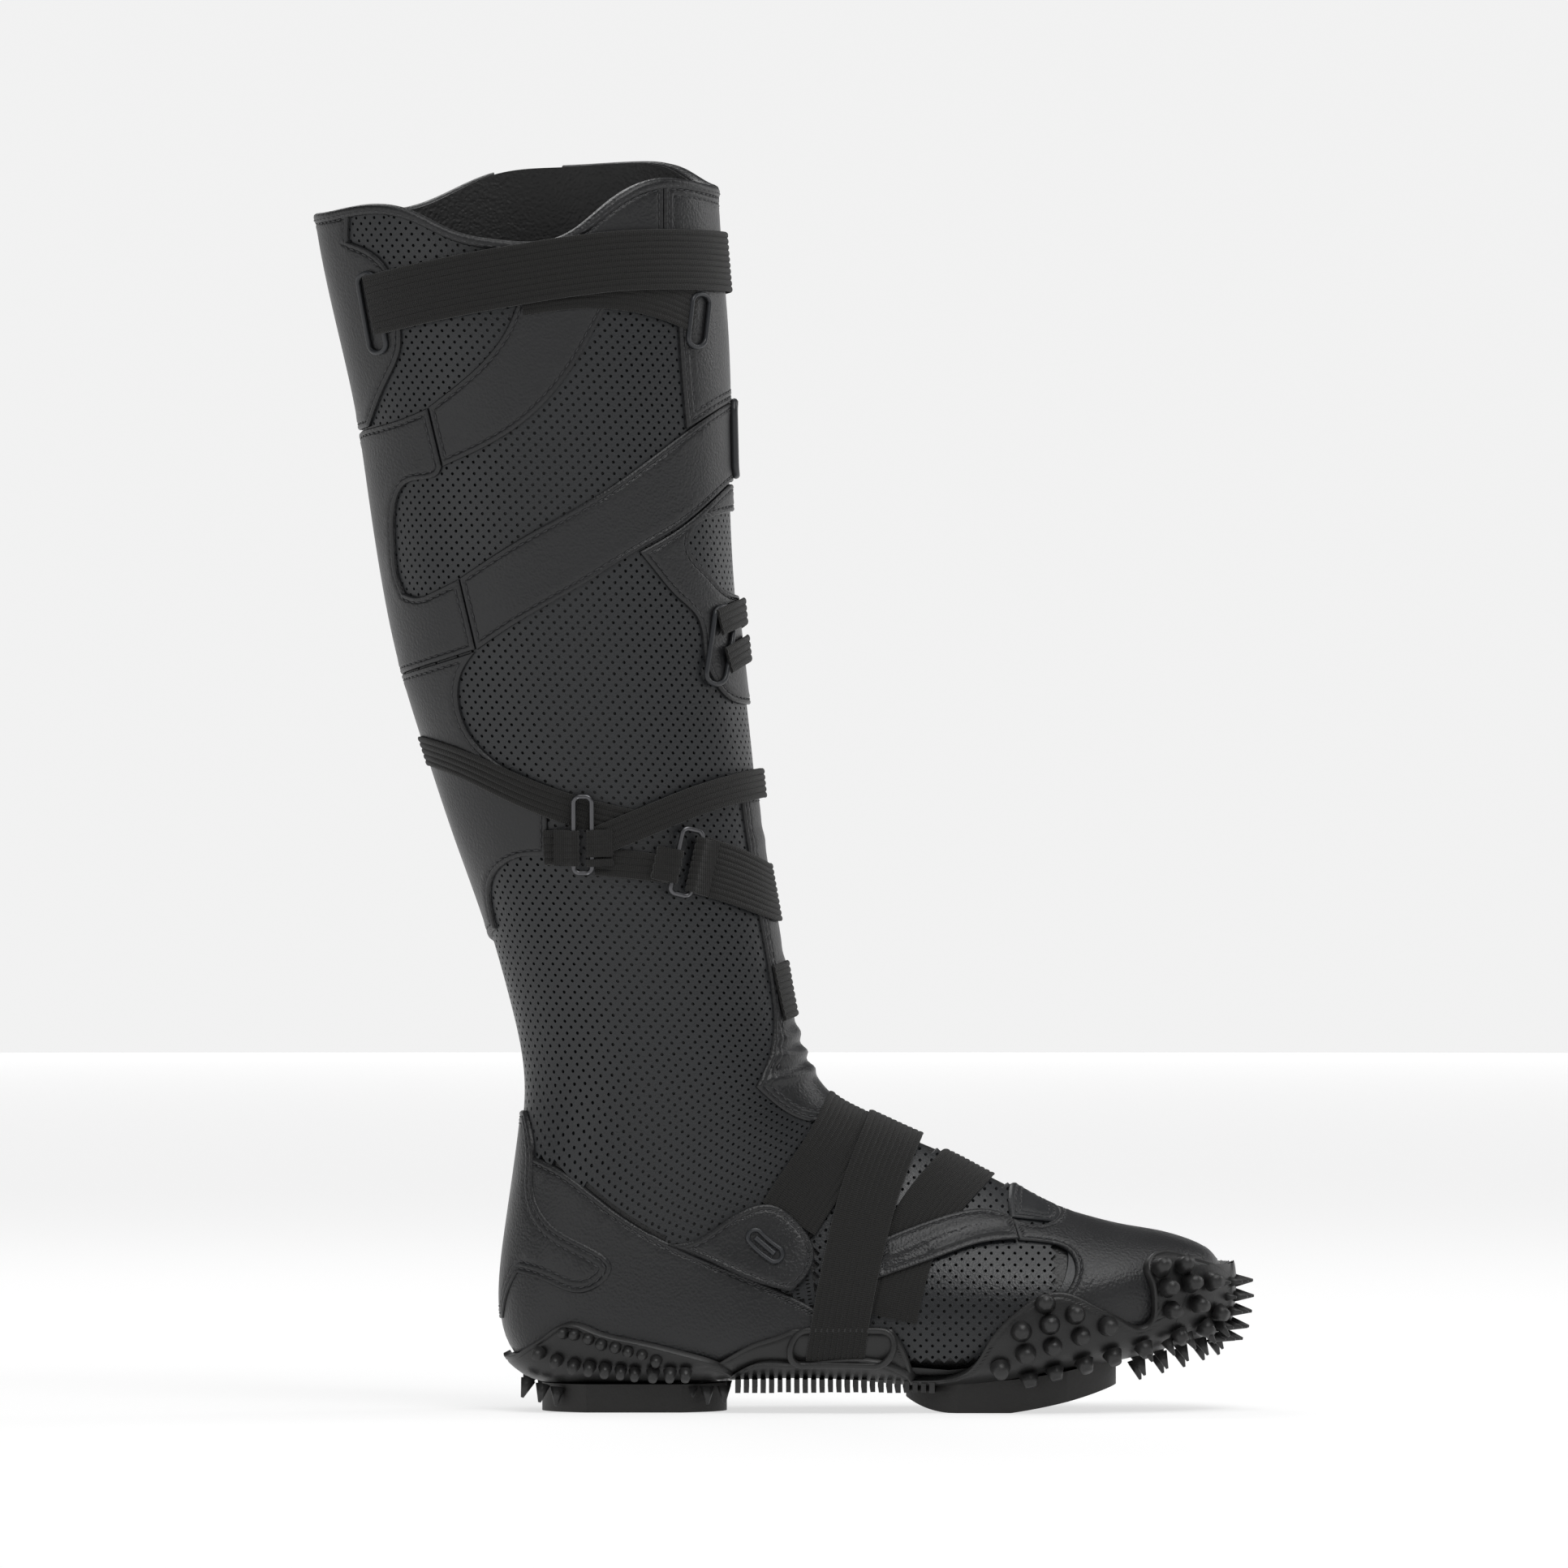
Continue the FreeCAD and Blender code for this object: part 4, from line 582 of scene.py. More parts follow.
def sleeve(v_top, v_low, layer, columns=280, rows=150, keep=None, nose=0.0, lift=None):
    """Closed sheet round the whole form between two edges given for each u; the toe may be capped."""
    u = np.linspace(0, 1, columns, endpoint=False)
    t = np.linspace(0, 1, rows)[:, None]
    v = v_top(u)[None] * (1 - t) + v_low(u)[None] * t
    uu = np.broadcast_to(u, v.shape)
    low, high = layer
    height = np.full(v.shape, high)
    if lift is not None:
        height = height + lift(uu, v, t)
    top, bottom = on_form(uu, v, height), on_form(uu, v, np.full(v.shape, low))
    if nose:
        def capped(rim, out):
            centre = rim.mean(0)
            rings = []
            for w in np.linspace(0, 1, 9)[1:]:
                angle = w * math.pi / 2
                ring = centre + (rim - centre) * math.cos(angle)
                ring[:, 0] += out * math.sin(angle)
                rings.append(ring if w < 1 else ring * 1.0)
            rings[-1] = centre + (rim - centre) * 0.04 + (out, 0, 0)
            return np.array(rings)
        top = np.concatenate([top, capped(top[-1], nose)])
        bottom = np.concatenate([bottom, capped(bottom[-1], nose)])
    nr = len(top)
    index = np.arange(nr * columns).reshape(nr, columns)
    nxt = np.roll(index, -1, axis=1)
    a, b, c, d = index[:-1].ravel(), nxt[:-1].ravel(), nxt[1:].ravel(), index[1:].ravel()
    faces = np.concatenate([np.stack([a, b, c], 1), np.stack([a, c, d], 1)])
    top, bottom = top.reshape(-1, 3), bottom.reshape(-1, 3)
    if keep is not None:
        middle = top[faces].mean(1)
        faces = faces[keep(middle)]
    if nose:
        last = index[-1]
        centre = len(top)
        tip_top, tip_low = top[last].mean(0), bottom[last].mean(0)
        top, bottom = np.concatenate([top, [tip_top]]), np.concatenate([bottom, [tip_low]])
        fan = np.stack([last, np.roll(last, -1), np.full(columns, centre)], 1)
        faces = np.concatenate([faces, fan])
    face = faces[0]
    way = np.cross(top[face[1]] - top[face[0]], top[face[2]] - top[face[0]])
    if (way * (top[face[0]] - top.mean(0)))[:2].sum() < 0:
        faces = faces[:, ::-1]
    return thickened(top, bottom, faces)


# ------------------------------------------------------------------ edges that several pieces share
def edge_of_u(*lines):
    """v for any u along an edge that goes round the boot."""
    line = np.concatenate(lines)
    order = np.argsort(line[:, 0] % 1.0)
    us, vs = (line[:, 0] % 1.0)[order], line[order, 1]
    us = np.concatenate([us - 1, us, us + 1])
    vs = np.tile(vs, 3)
    return lambda u: np.interp(np.asarray(u) % 1.0, us, vs)


def collar_edge(drop):
    left = locate(smoothed([(x, z - drop) for x, z in COLLAR_L]), LAT)
    right = locate(smoothed([(x, z - drop) for x, z in COLLAR_M]), MED)
    return edge_of_u(left[1:-1], right[1:-1])


def collar_run(side, x0, x1, drop=1.6):
    """Part of the collar edge in side view, for the top of a piece."""
    edge = COLLAR_L if side == LAT else COLLAR_M
    line = smoothed([(x, z - drop) for x, z in edge], 3.0)
    xs = np.linspace(x0, x1, max(3, int(abs(x1 - x0) / 4)))
    return [(x, float(np.interp(x, line[:, 0], line[:, 1]))) for x in xs]


# ------------------------------------------------------------------ zip axes
def zip_axes():
    middle = (SKIN[0] + SKIN[1]) / 2
    top, foot = locate([ZIP_TOP], MED, middle), locate([ZIP_FOOT], MED, middle)
    start, end = on_form(*top.T, middle)[0], on_form(*foot.T, middle)[0]
    down = (end - start) / np.linalg.norm(end - start)
    out = normals(*top.T, middle)[0] + normals(*foot.T, middle)[0]
    out -= down * (out @ down)
    out /= np.linalg.norm(out)
    return start, down, out, np.cross(out, down), np.linalg.norm(end - start)


ZIP_START, ZIP_DOWN, ZIP_OUT, ZIP_ACROSS, ZIP_LENGTH = zip_axes()


def zip_coordinates(points):
    rel = points - ZIP_START
    return rel @ ZIP_DOWN, rel @ ZIP_ACROSS, rel @ ZIP_OUT


def zip_place(d, s, n):
    return ZIP_START + np.multiply.outer(d, ZIP_DOWN) + np.multiply.outer(s, ZIP_ACROSS) \
        + np.multiply.outer(n, ZIP_OUT)


def off_zip(points):
    """True beside the zip's window, for whole triangles."""
    d, s, n = zip_coordinates(points)
    return ~((d > -40) & (d < ZIP_LENGTH + 5) & (abs(s) < ZIP_HALF) & (abs(n) < 14) & (points[:, 1] > 0))


# ------------------------------------------------------------------ leather pieces
def leather_outlines():
    """Every smooth leather overlay: name and outline."""
    found = {}
    found["rear_calf_panel"] = outline(
        (LAT, collar_run(LAT, -112, -102)), (LAT, [(-102, 427), (-102.5, 416.5)]),
        (LAT, [(-102.5, 416.5), (-94.5, 413), (-88, 406.5), (-84.5, 393), (-83.5, 378), (-89, 365.5),
               (-95, 351)]),
        (LAT, [(-95, 351), (-100.5, 349.5)]), (MED, [(-99, 350), (-93, 351)]),
        (MED, [(-93, 351), (-93, 428)]), (MED, collar_run(MED, -93, -112)), wrap=True)
    found["front_placket"] = outline(
        (LAT, collar_run(LAT, 34, 11)), (LAT, [(11, 436), (11, 419.5)]),
        (LAT, [(11, 419.5), (14.5, 406), (17, 378), (19.3, 349.8)]), (LAT, [(19.3, 349.8), (35, 360.3)]),
        (MED, [(35, 360.3), (20, 352)]), (MED, [(20, 352), (16, 443)]), (MED, collar_run(MED, 16, 34)))
    found["collar_panel"] = outline(
        (LAT, collar_run(LAT, 10.7, -32)), (LAT, [(-32, 415), (-32, 405)]),
        (LAT, [(-32, 405), (-12, 403), (14.2, 404.5)]), (LAT, [(14.2, 404.5), (10.7, 419.5)]),
        (LAT, [(10.7, 419.5), (10.7, 436)]))
    found["swirl_band"] = outline(
        (LAT, [(-7, 398), (-13, 386), (-24.5, 367), (-44.5, 348), (-68, 336.5)]),
        (LAT, [(-68, 336.5), (-73, 357.5)]),
        (LAT, [(-73, 357.5), (-62.5, 365.5), (-53.5, 373.5), (-44, 387), (-40, 398)]),
        (LAT, [(-40, 398), (-7, 398)]))
    found["rear_mid_panel"] = outline(
        (LAT, [(-96, 350), (-84, 353), (-73.6, 357)]), (LAT, [(-73.6, 357), (-68.6, 336.2)]),
        (LAT, [(-68.6, 336.2), (-69.5, 334), (-80.5, 331), (-86, 320), (-86, 308), (-85, 298), (-82.5, 291.5)]),
        (LAT, [(-82.5, 291.5), (-77.5, 290), (-72.5, 291.5), (-62.4, 296.3)]),
        (LAT, [(-62.4, 296.3), (-56.6, 271.4)]), (LAT, [(-56.6, 271.4), (-82, 263.5)]),
        (MED, [(-83, 262.5), (-74, 262)]), (MED, [(-74, 262), (-82, 349)]), (MED, [(-82, 349), (-96, 347)]),
        wrap=True)
    found["diagonal_band"] = outline(
        (LAT, [(-62, 296.7), (-39.5, 311), (-11.5, 326.5), (19.5, 349), (34.6, 359.8)]),
        (MED, [(34.6, 359.8), (21, 352)]), (MED, [(21, 352), (18, 331)]), (MED, [(18, 331), (34.6, 331.5)]),
        (LAT, [(34.6, 331.5), (16.5, 315), (3, 307), (-17.5, 294.5), (-44.5, 279), (-56, 271.3)]),
        (LAT, [(-56, 271.3), (-62, 296.7)]))
    found["knee_overlay"] = outline(
        (LAT, [(2.5, 306), (9, 298), (16, 290), (23, 283), (26, 268.5), (29, 260.5), (35, 253.5), (40.5, 252)]),
        (MED, [(40.5, 252), (34, 262)]), (MED, [(34, 262), (31, 286)]), (MED, [(31, 286), (37, 291)]),
        (LAT, [(36.9, 291), (33, 292.5), (27, 298.5), (20, 308), (22, 315), (29, 319), (35.3, 321)]),
        (MED, [(35.3, 321), (30, 324)]), (MED, [(30, 324), (34.8, 330.8)]),
        (LAT, [(34.4, 330.4), (16.7, 314.3), (2.5, 306)]))
    found["lower_back_panel"] = outline(
        (LAT, [(-82, 263), (-70, 266.5), (-56.8, 270.5)]),
        (LAT, [(-56.8, 270.5), (-61.5, 263.5), (-63, 254), (-59, 241.5), (-46.5, 229.5), (-31, 222)]),
        (LAT, [(-31, 222), (-31, 198)]),
        (LAT, [(-31, 198), (-38, 198), (-45, 196), (-51, 190), (-52, 182), (-50, 172)]),
        (MED, [(-48, 166), (-40, 164)]), (MED, [(-40, 164), (-48, 205)]), (MED, [(-48, 205), (-63, 260)]),
        (MED, [(-63, 260), (-82, 262)]), wrap=True)
    heel_front = [(-39.5, 107), (-36.5, 91.5), (-36, 77), (-31.5, 68.5), (-15, 58.5), (-8, 51.5), (-9.5, 48),
                  (-20, 42.5), (-33, 47), (-42, 49.5)]
    heel_tail = [(-42, 49.5), (-45.5, 42), (-47.2, 33)]
    found["heel_overlay"] = outline(
        (LAT, heel_front), (LAT, heel_tail), (MED, heel_tail[::-1]), (MED, heel_front[::-1]), wrap=True)
    found["ankle_wing"] = outline(
        (LAT, [(12, 60), (22, 61.5), (28.5, 65.5), (41.5, 73), (47.5, 74), (59, 66.5), (64, 57), (62, 50),
               (56, 43.5)]),
        (LAT, [(56, 43.5), (43, 47), (26, 54.5), (12, 60)]))
    found["side_band"] = outline(
        (LAT, [(88, 62), (103, 67.7), (116.5, 71.5), (125.5, 72), (134, 69.4)]),
        (LAT, [(134, 69.4), (136.5, 61.8)]),
        (LAT, [(136.5, 61.8), (122, 60.2), (112, 57), (102, 53.5), (86, 48)]), (LAT, [(86, 48), (88, 62)]))
    found["throat_end"] = outline(
        (LAT, [(134.4, 69.6), (134.3, 76), (135, 81)]), (MED, [(135, 81), (134.3, 74), (134.4, 69.6)]),
        (MED, [(134.4, 69.6), (150, 68)]), (MED, [(150, 68), (151.8, 70), (150, 75)]),
        (LAT, [(150, 75), (151.8, 70), (150, 68)]), (LAT, [(150, 68), (134.4, 69.6)]))
    cap = [(121, 12.5), (130, 20), (140, 29.5), (151, 40), (156, 47), (157.2, 53), (154.5, 58.2), (147, 60.8),
           (137.2, 61.6)]
    found["toe_cap"] = outline(
        (LAT, cap), (LAT, [(137.2, 61.6), (134.6, 69.4)]),
        (LAT, [(134.6, 69.4), (148, 67.6), (151.5, 70.5), (152, 74.5)]),
        (MED, [(152, 74.5), (151.5, 70.5), (148, 67.6), (134.6, 69.4)]), (MED, [(134.6, 69.4), (137.2, 61.6)]),
        (MED, cap[::-1]), (MED, [(121, 12.5), (160, 20), (209, 34)]),
        (LAT, [(209, 34), (160, 20), (121, 12.5)]))
    found["medial_side_panel"] = outline(
        (MED, [(14, 60), (30, 80), (46, 92), (56, 80), (66, 60), (60, 46), (40, 43), (24, 48), (14, 60)]))
    return found


def ridges(uvs, depth):
    """Two moulded ridges along the side band."""
    p = on_form(uvs[:, 0], uvs[:, 1], 4.7)
    rise = np.zeros(len(p))
    for line in ([(89, 55.5), (103, 61.5), (117, 66.5), (134, 68)], [(106, 58.3), (119, 62.5), (134, 64.4)]):
        q = smoothed(graded(line), 0.8)
        far = np.linalg.norm(p[:, None, [0, 2]] - q[None], axis=-1).min(1)
        rise += 1.1 * np.exp(-(far / 1.3) ** 2)
    return rise * np.clip(depth / 2.0, 0, 1)


def wing_fall(uvs, depth):
    """The wing sinks towards the heel, where it runs into the quarter."""
    x = on_form(uvs[:, 0], uvs[:, 1], 4.7)[:, 0]
    return -1.5 * (1 - np.clip((x - 14) / 20, 0, 1))


def folds(uvs, depth):
    """Soft creases across the front of the ankle."""
    p = on_form(uvs[:, 0], uvs[:, 1], 4.7)
    z, y = p[:, 2], p[:, 1]
    rise = np.zeros(len(p))
    for height, size, width, lean in ((134, 0.9, 2.2, 0.10), (127, 1.3, 1.9, -0.06), (121, 1.2, 1.8, 0.04),
                                      (158, 0.5, 3.2, 0.05), (183, 0.4, 3.4, -0.07), (203, 0.35, 3.0, 0.04)):
        bend = height + lean * y + 1.4 * np.sin(y / 9.0 + height)
        rise += size * np.exp(-((z - bend) / width) ** 2)
        rise -= 0.5 * size * np.exp(-((z - bend - width * 1.5) / width) ** 2)
    return rise * np.clip(depth / 5.0, 0, 1)


HEEL_WRAP = [(-46, 20.5), (-40, 21.5), (-36.5, 24), (-30.5, 28), (-26, 31.5), (-20.5, 32.5), (-13.5, 30),
             (2.5, 26), (19, 22), (29, 19), (38, 14.5)]
FORE_WRAP = [(104, 13.5), (116, 15), (122, 19), (127.5, 28), (134.5, 35.5), (142.5, 41), (148, 43), (155, 42.5),
             (162.5, 39), (173, 34), (180.5, 31.5), (183.5, 34), (184, 39), (183, 46), (181, 51.5),
             (182.5, 55), (185.5, 56), (195.5, 54), (205, 50.5), (209.5, 47)]
TOE_MIDDLE = 6.0
TOE_CURVE = 0.055 * 0.35
STUD_ROW = [(-25, 28.5), (-21, 28), (-16, 26.5), (-11.5, 24.5), (-6.5, 23.5), (-2, 22), (3, 21), (8, 19)]
CONE_ROW = [(-33, 22), (-27, 19.5), (-21, 18), (-15.5, 17.5), (-10, 17), (-4.5, 16.5), (0.5, 16), (7, 16),
            (13, 16), (18.5, 16)]
SPIKE_ROW = [(-37, 13.5), (-32, 12), (-27, 11), (-21, 10.4), (-13.5, 10), (-6.5, 10), (0.5, 10.4), (7, 10.8),
             (13.5, 11), (20, 11.2), (26, 11.6), (32, 11.8)]
FORE_CONES = [(146, 39), (156.5, 35.5), (168, 31.5), (137.5, 29.5), (147.5, 32), (158.5, 28), (148.5, 24.5),
              (139, 22), (130, 17.5), (169.5, 22.5), (159.5, 19.8), (149, 17), (140, 14.6), (180.5, 25),
              (193, 29), (202, 31.5), (207, 36)]
TOE_CONES = [(186.5, 51), (194.5, 51.5), (189, 44.5), (197, 46), (204, 46.5), (190.5, 37), (199.5, 39)]


def v_at_x(x, u=0.0):
    """Where the form's line at u under the foot passes a place along the boot."""
    v = np.linspace(0.55, 1.0, 400)
    xs = on_form(np.full(400, u), v, 8.0)[:, 0]
    return np.interp(x * SCALE_X, xs, v)


def tube(line, radius, offset, closed=True, sides=10, flat=1.0):
    """Round cord or moulded rim along a line of u and v, at one offset or one for each point."""
    p = on_form(line[:, 0], line[:, 1], offset)
    n = normals(line[:, 0], line[:, 1])
    if closed:
        t = np.roll(p, -1, axis=0) - np.roll(p, 1, axis=0)
    else:
        t = np.gradient(p, axis=0)
    t /= np.linalg.norm(t, axis=1, keepdims=True)
    side = np.cross(n, t)
    side /= np.linalg.norm(side, axis=1, keepdims=True)
    n = np.cross(t, side)
    angles = np.arange(sides) * 2 * math.pi / sides
    rings = [p + radius * (math.cos(a) * side + flat * math.sin(a) * n) for a in angles]
    verts = np.stack(rings, 1).reshape(-1, 3)
    faces, count = [], len(p)
    for k in range(count if closed else count - 1):
        m = (k + 1) % count
        for j in range(sides):
            q = (j + 1) % sides
            faces.append([k * sides + j, k * sides + q, m * sides + q, m * sides + j])
    if not closed:
        faces.append(list(range(sides))[::-1])
        faces.append([(count - 1) * sides + j for j in range(sides)])
    f = faces[0]
    turn = np.cross(verts[f[1]] - verts[f[0]], verts[f[2]] - verts[f[0]])
    if turn @ (verts[f[0]] - p[0]) < 0:
        faces = [face[::-1] for face in faces]
    return verts, faces


def slot_loop(centre, length, width, lean):
    """Rounded slot in side view, as points."""
    angle = math.radians(lean)
    up = np.array([-math.sin(angle), math.cos(angle)])
    right = np.array([math.cos(angle), math.sin(angle)])
    half, straight = width / 2, length / 2 - width / 2
    ring = []
    for start, middle in ((0.0, straight), (math.pi, -straight)):
        for a in np.linspace(start, start + math.pi, 12):
            ring.append(np.array(centre) + right * half * math.cos(a) + up * (middle + half * math.sin(a)))
    return ring


# ------------------------------------------------------------------ materials
def tree_of(name):
    material = bpy.data.materials.new(name)
    material.use_nodes = True
    tree = material.node_tree
    tree.nodes.clear()
    shader = tree.nodes.new("ShaderNodeBsdfPrincipled")
    output = tree.nodes.new("ShaderNodeOutputMaterial")
    tree.links.new(shader.outputs[0], output.inputs[0])
    return material, tree, shader


def node(tree, kind, links=None, values=None, **settings):
    made = tree.nodes.new(kind)
    for key, value in settings.items():
        setattr(made, key, value)
    for key, value in (values or {}).items():
        made.inputs[key].default_value = value
    for key, source in (links or {}).items():
        tree.links.new(source, made.inputs[key])
    return made


def coordinates(tree, kind="Object", scale=(1, 1, 1)):
    source = node(tree, "ShaderNodeTexCoord").outputs[kind]
    return node(tree, "ShaderNodeMapping", {"Vector": source}, {"Scale": scale}).outputs[0]


def leather(name, colour, rough, grain, depth, sheen=0.0, coat=0.0):
    """Grained leather: pebbled cells over fine pores, with rubbed lighter patches."""
    material, tree, shader = tree_of(name)
    where = coordinates(tree)
    bent = node(tree, "ShaderNodeTexNoise", {"Vector": where}, {"Scale": 260.0, "Detail": 2.0})
    mix = node(tree, "ShaderNodeVectorMath", {0: bent.outputs["Color"]}, {"Scale": 0.0012}, operation="SCALE")
    moved = node(tree, "ShaderNodeVectorMath", {0: where, 1: mix.outputs[0]}, operation="ADD")
    cells = node(tree, "ShaderNodeTexVoronoi", {"Vector": moved.outputs[0]}, {"Scale": grain},
                 feature="SMOOTH_F1")
    fine = node(tree, "ShaderNodeTexNoise", {"Vector": where}, {"Scale": grain * 3.0, "Detail": 4.0})
    patches = node(tree, "ShaderNodeTexNoise", {"Vector": where}, {"Scale": 26.0, "Detail": 3.0})
    height = node(tree, "ShaderNodeMath", {0: fine.outputs[0], 2: cells.outputs[0]}, {1: 0.35},
                  operation="MULTIPLY_ADD")
    bump = node(tree, "ShaderNodeBump", {"Height": height.outputs[0]}, {"Strength": depth, "Distance": 0.0004})
    ramp = node(tree, "ShaderNodeMapRange", {"Value": patches.outputs[0]},
                {"From Min": 0.3, "From Max": 0.7, "To Min": rough - 0.07, "To Max": rough + 0.07})
    tone = node(tree, "ShaderNodeMix", {"Factor": patches.outputs[0]}, data_type="RGBA")
    tone.inputs[6].default_value = (*[c * 0.82 for c in colour], 1)
    tone.inputs[7].default_value = (*[c * 1.22 for c in colour], 1)
    tree.links.new(tone.outputs[2], shader.inputs["Base Color"])
    tree.links.new(ramp.outputs[0], shader.inputs["Roughness"])
    tree.links.new(bump.outputs[0], shader.inputs["Normal"])
    shader.inputs["Specular IOR Level"].default_value = 0.42
    shader.inputs["Sheen Weight"].default_value = sheen
    shader.inputs["Coat Weight"].default_value = coat
    shader.inputs["Coat Roughness"].default_value = 0.3
    return material


def webbing(name, colour):
    """Woven elastic: fine cross threads on the UV map."""
    material, tree, shader = tree_of(name)
    where = coordinates(tree, "UV")
    across = node(tree, "ShaderNodeTexWave", {"Vector": where}, {"Scale": 420.0, "Distortion": 0.6},
                  bands_direction="Y")
    fine = node(tree, "ShaderNodeTexWave", {"Vector": where}, {"Scale": 700.0, "Distortion": 0.4},
                bands_direction="X")
    fuzz = node(tree, "ShaderNodeTexNoise", {"Vector": coordinates(tree)}, {"Scale": 2600.0, "Detail": 3.0})
    first = node(tree, "ShaderNodeMath", {0: across.outputs[1], 1: fine.outputs[1]}, operation="ADD")
    total = node(tree, "ShaderNodeMath", {0: first.outputs[0], 1: fuzz.outputs[0]}, operation="ADD")
    bump = node(tree, "ShaderNodeBump", {"Height": total.outputs[0]}, {"Strength": 0.5, "Distance": 0.0003})
    tone = node(tree, "ShaderNodeMix", {"Factor": across.outputs[1]}, data_type="RGBA")
    tone.inputs[6].default_value = (*[c * 0.65 for c in colour], 1)
    tone.inputs[7].default_value = (*[c * 1.3 for c in colour], 1)
    tree.links.new(tone.outputs[2], shader.inputs["Base Color"])
    tree.links.new(bump.outputs[0], shader.inputs["Normal"])
    shader.inputs["Roughness"].default_value = 0.82
    shader.inputs["Specular IOR Level"].default_value = 0.25
    shader.inputs["Sheen Weight"].default_value = 0.12
    shader.inputs["Sheen Roughness"].default_value = 0.5
    return material


def moulded(name, colour, rough, depth=0.25, size=900.0, metal=0.0, wear=0.0):
    """Rubber, plastic or metal with fine mould texture and rubbed edges."""
    material, tree, shader = tree_of(name)
    where = coordinates(tree)
    fine = node(tree, "ShaderNodeTexNoise", {"Vector": where}, {"Scale": size, "Detail": 5.0})
    broad = node(tree, "ShaderNodeTexNoise", {"Vector": where}, {"Scale": 38.0, "Detail": 4.0})
    bump = node(tree, "ShaderNodeBump", {"Height": fine.outputs[0]}, {"Strength": depth, "Distance": 0.0003})
    tone = node(tree, "ShaderNodeMix", {"Factor": broad.outputs[0]}, data_type="RGBA")
    tone.inputs[6].default_value = (*[c * 0.8 for c in colour], 1)
    tone.inputs[7].default_value = (*[c * 1.25 for c in colour], 1)
    source = tone.outputs[2]
    if wear:
        geometry = node(tree, "ShaderNodeNewGeometry")
        edge = node(tree, "ShaderNodeMapRange", {"Value": geometry.outputs["Pointiness"]},
                    {"From Min": 0.52, "From Max": 0.60})
        worn = node(tree, "ShaderNodeMix", {"Factor": edge.outputs[0], 6: source}, data_type="RGBA")
        worn.inputs[7].default_value = (*[min(1, c * (1 + wear)) for c in colour], 1)
        source = worn.outputs[2]
    spread = node(tree, "ShaderNodeMapRange", {"Value": broad.outputs[0]},
                  {"To Min": rough - 0.08, "To Max": rough + 0.08})
    tree.links.new(source, shader.inputs["Base Color"])
    tree.links.new(spread.outputs[0], shader.inputs["Roughness"])
    tree.links.new(bump.outputs[0], shader.inputs["Normal"])
    shader.inputs["Metallic"].default_value = metal
    shader.inputs["Specular IOR Level"].default_value = 0.4
    return material


MATERIALS = {}


def build_materials():
    MATERIALS.update({
        "smooth_leather": leather("smooth_leather", (0.0110, 0.0112, 0.0120), 0.40, 1050.0, 0.45),
        "perforated_leather": leather("perforated_leather", (0.0135, 0.0145, 0.0160), 0.40, 1300.0, 0.22),
        "lining": leather("lining", (0.010, 0.010, 0.010), 0.42, 900.0, 0.6),
        "elastic": webbing("elastic", (0.0125, 0.0122, 0.0115)),
        "zip_tape": webbing("zip_tape", (0.012, 0.012, 0.012)),
        "thread": moulded("thread", (0.030, 0.030, 0.032), 0.45, 0.4, 2500.0),
        "hard_trim": moulded("hard_trim", (0.016, 0.017, 0.019), 0.34, 0.12, 1500.0, wear=1.0),
        "ring_metal": moulded("ring_metal", (0.10, 0.10, 0.105), 0.36, 0.08, 1800.0, metal=1.0, wear=1.2),
        "zip_metal": moulded("zip_metal", (0.14, 0.14, 0.145), 0.34, 0.08, 1800.0, metal=1.0, wear=1.0),
        "sole_rubber": moulded("sole_rubber", (0.0125, 0.0124, 0.0124), 0.42, 0.3, 1100.0, wear=0.8),
        "pad_rubber": moulded("pad_rubber", (0.0125, 0.0120, 0.0115), 0.62, 0.4, 800.0, wear=0.5),
        "midsole_foam": moulded("midsole_foam", (0.020, 0.020, 0.020), 0.75, 0.4, 1500.0),
        "footbed_foam": moulded("footbed_foam", (0.03, 0.03, 0.03), 0.8, 0.4, 1200.0),
        "board": moulded("board", (0.08, 0.06, 0.04), 0.8, 0.4, 900.0),
        "shank_steel": moulded("shank_steel", (0.35, 0.35, 0.35), 0.35, 0.1, 900.0, metal=1.0),
        "stiffener": moulded("stiffener", (0.05, 0.045, 0.04), 0.7, 0.3, 900.0),
    })


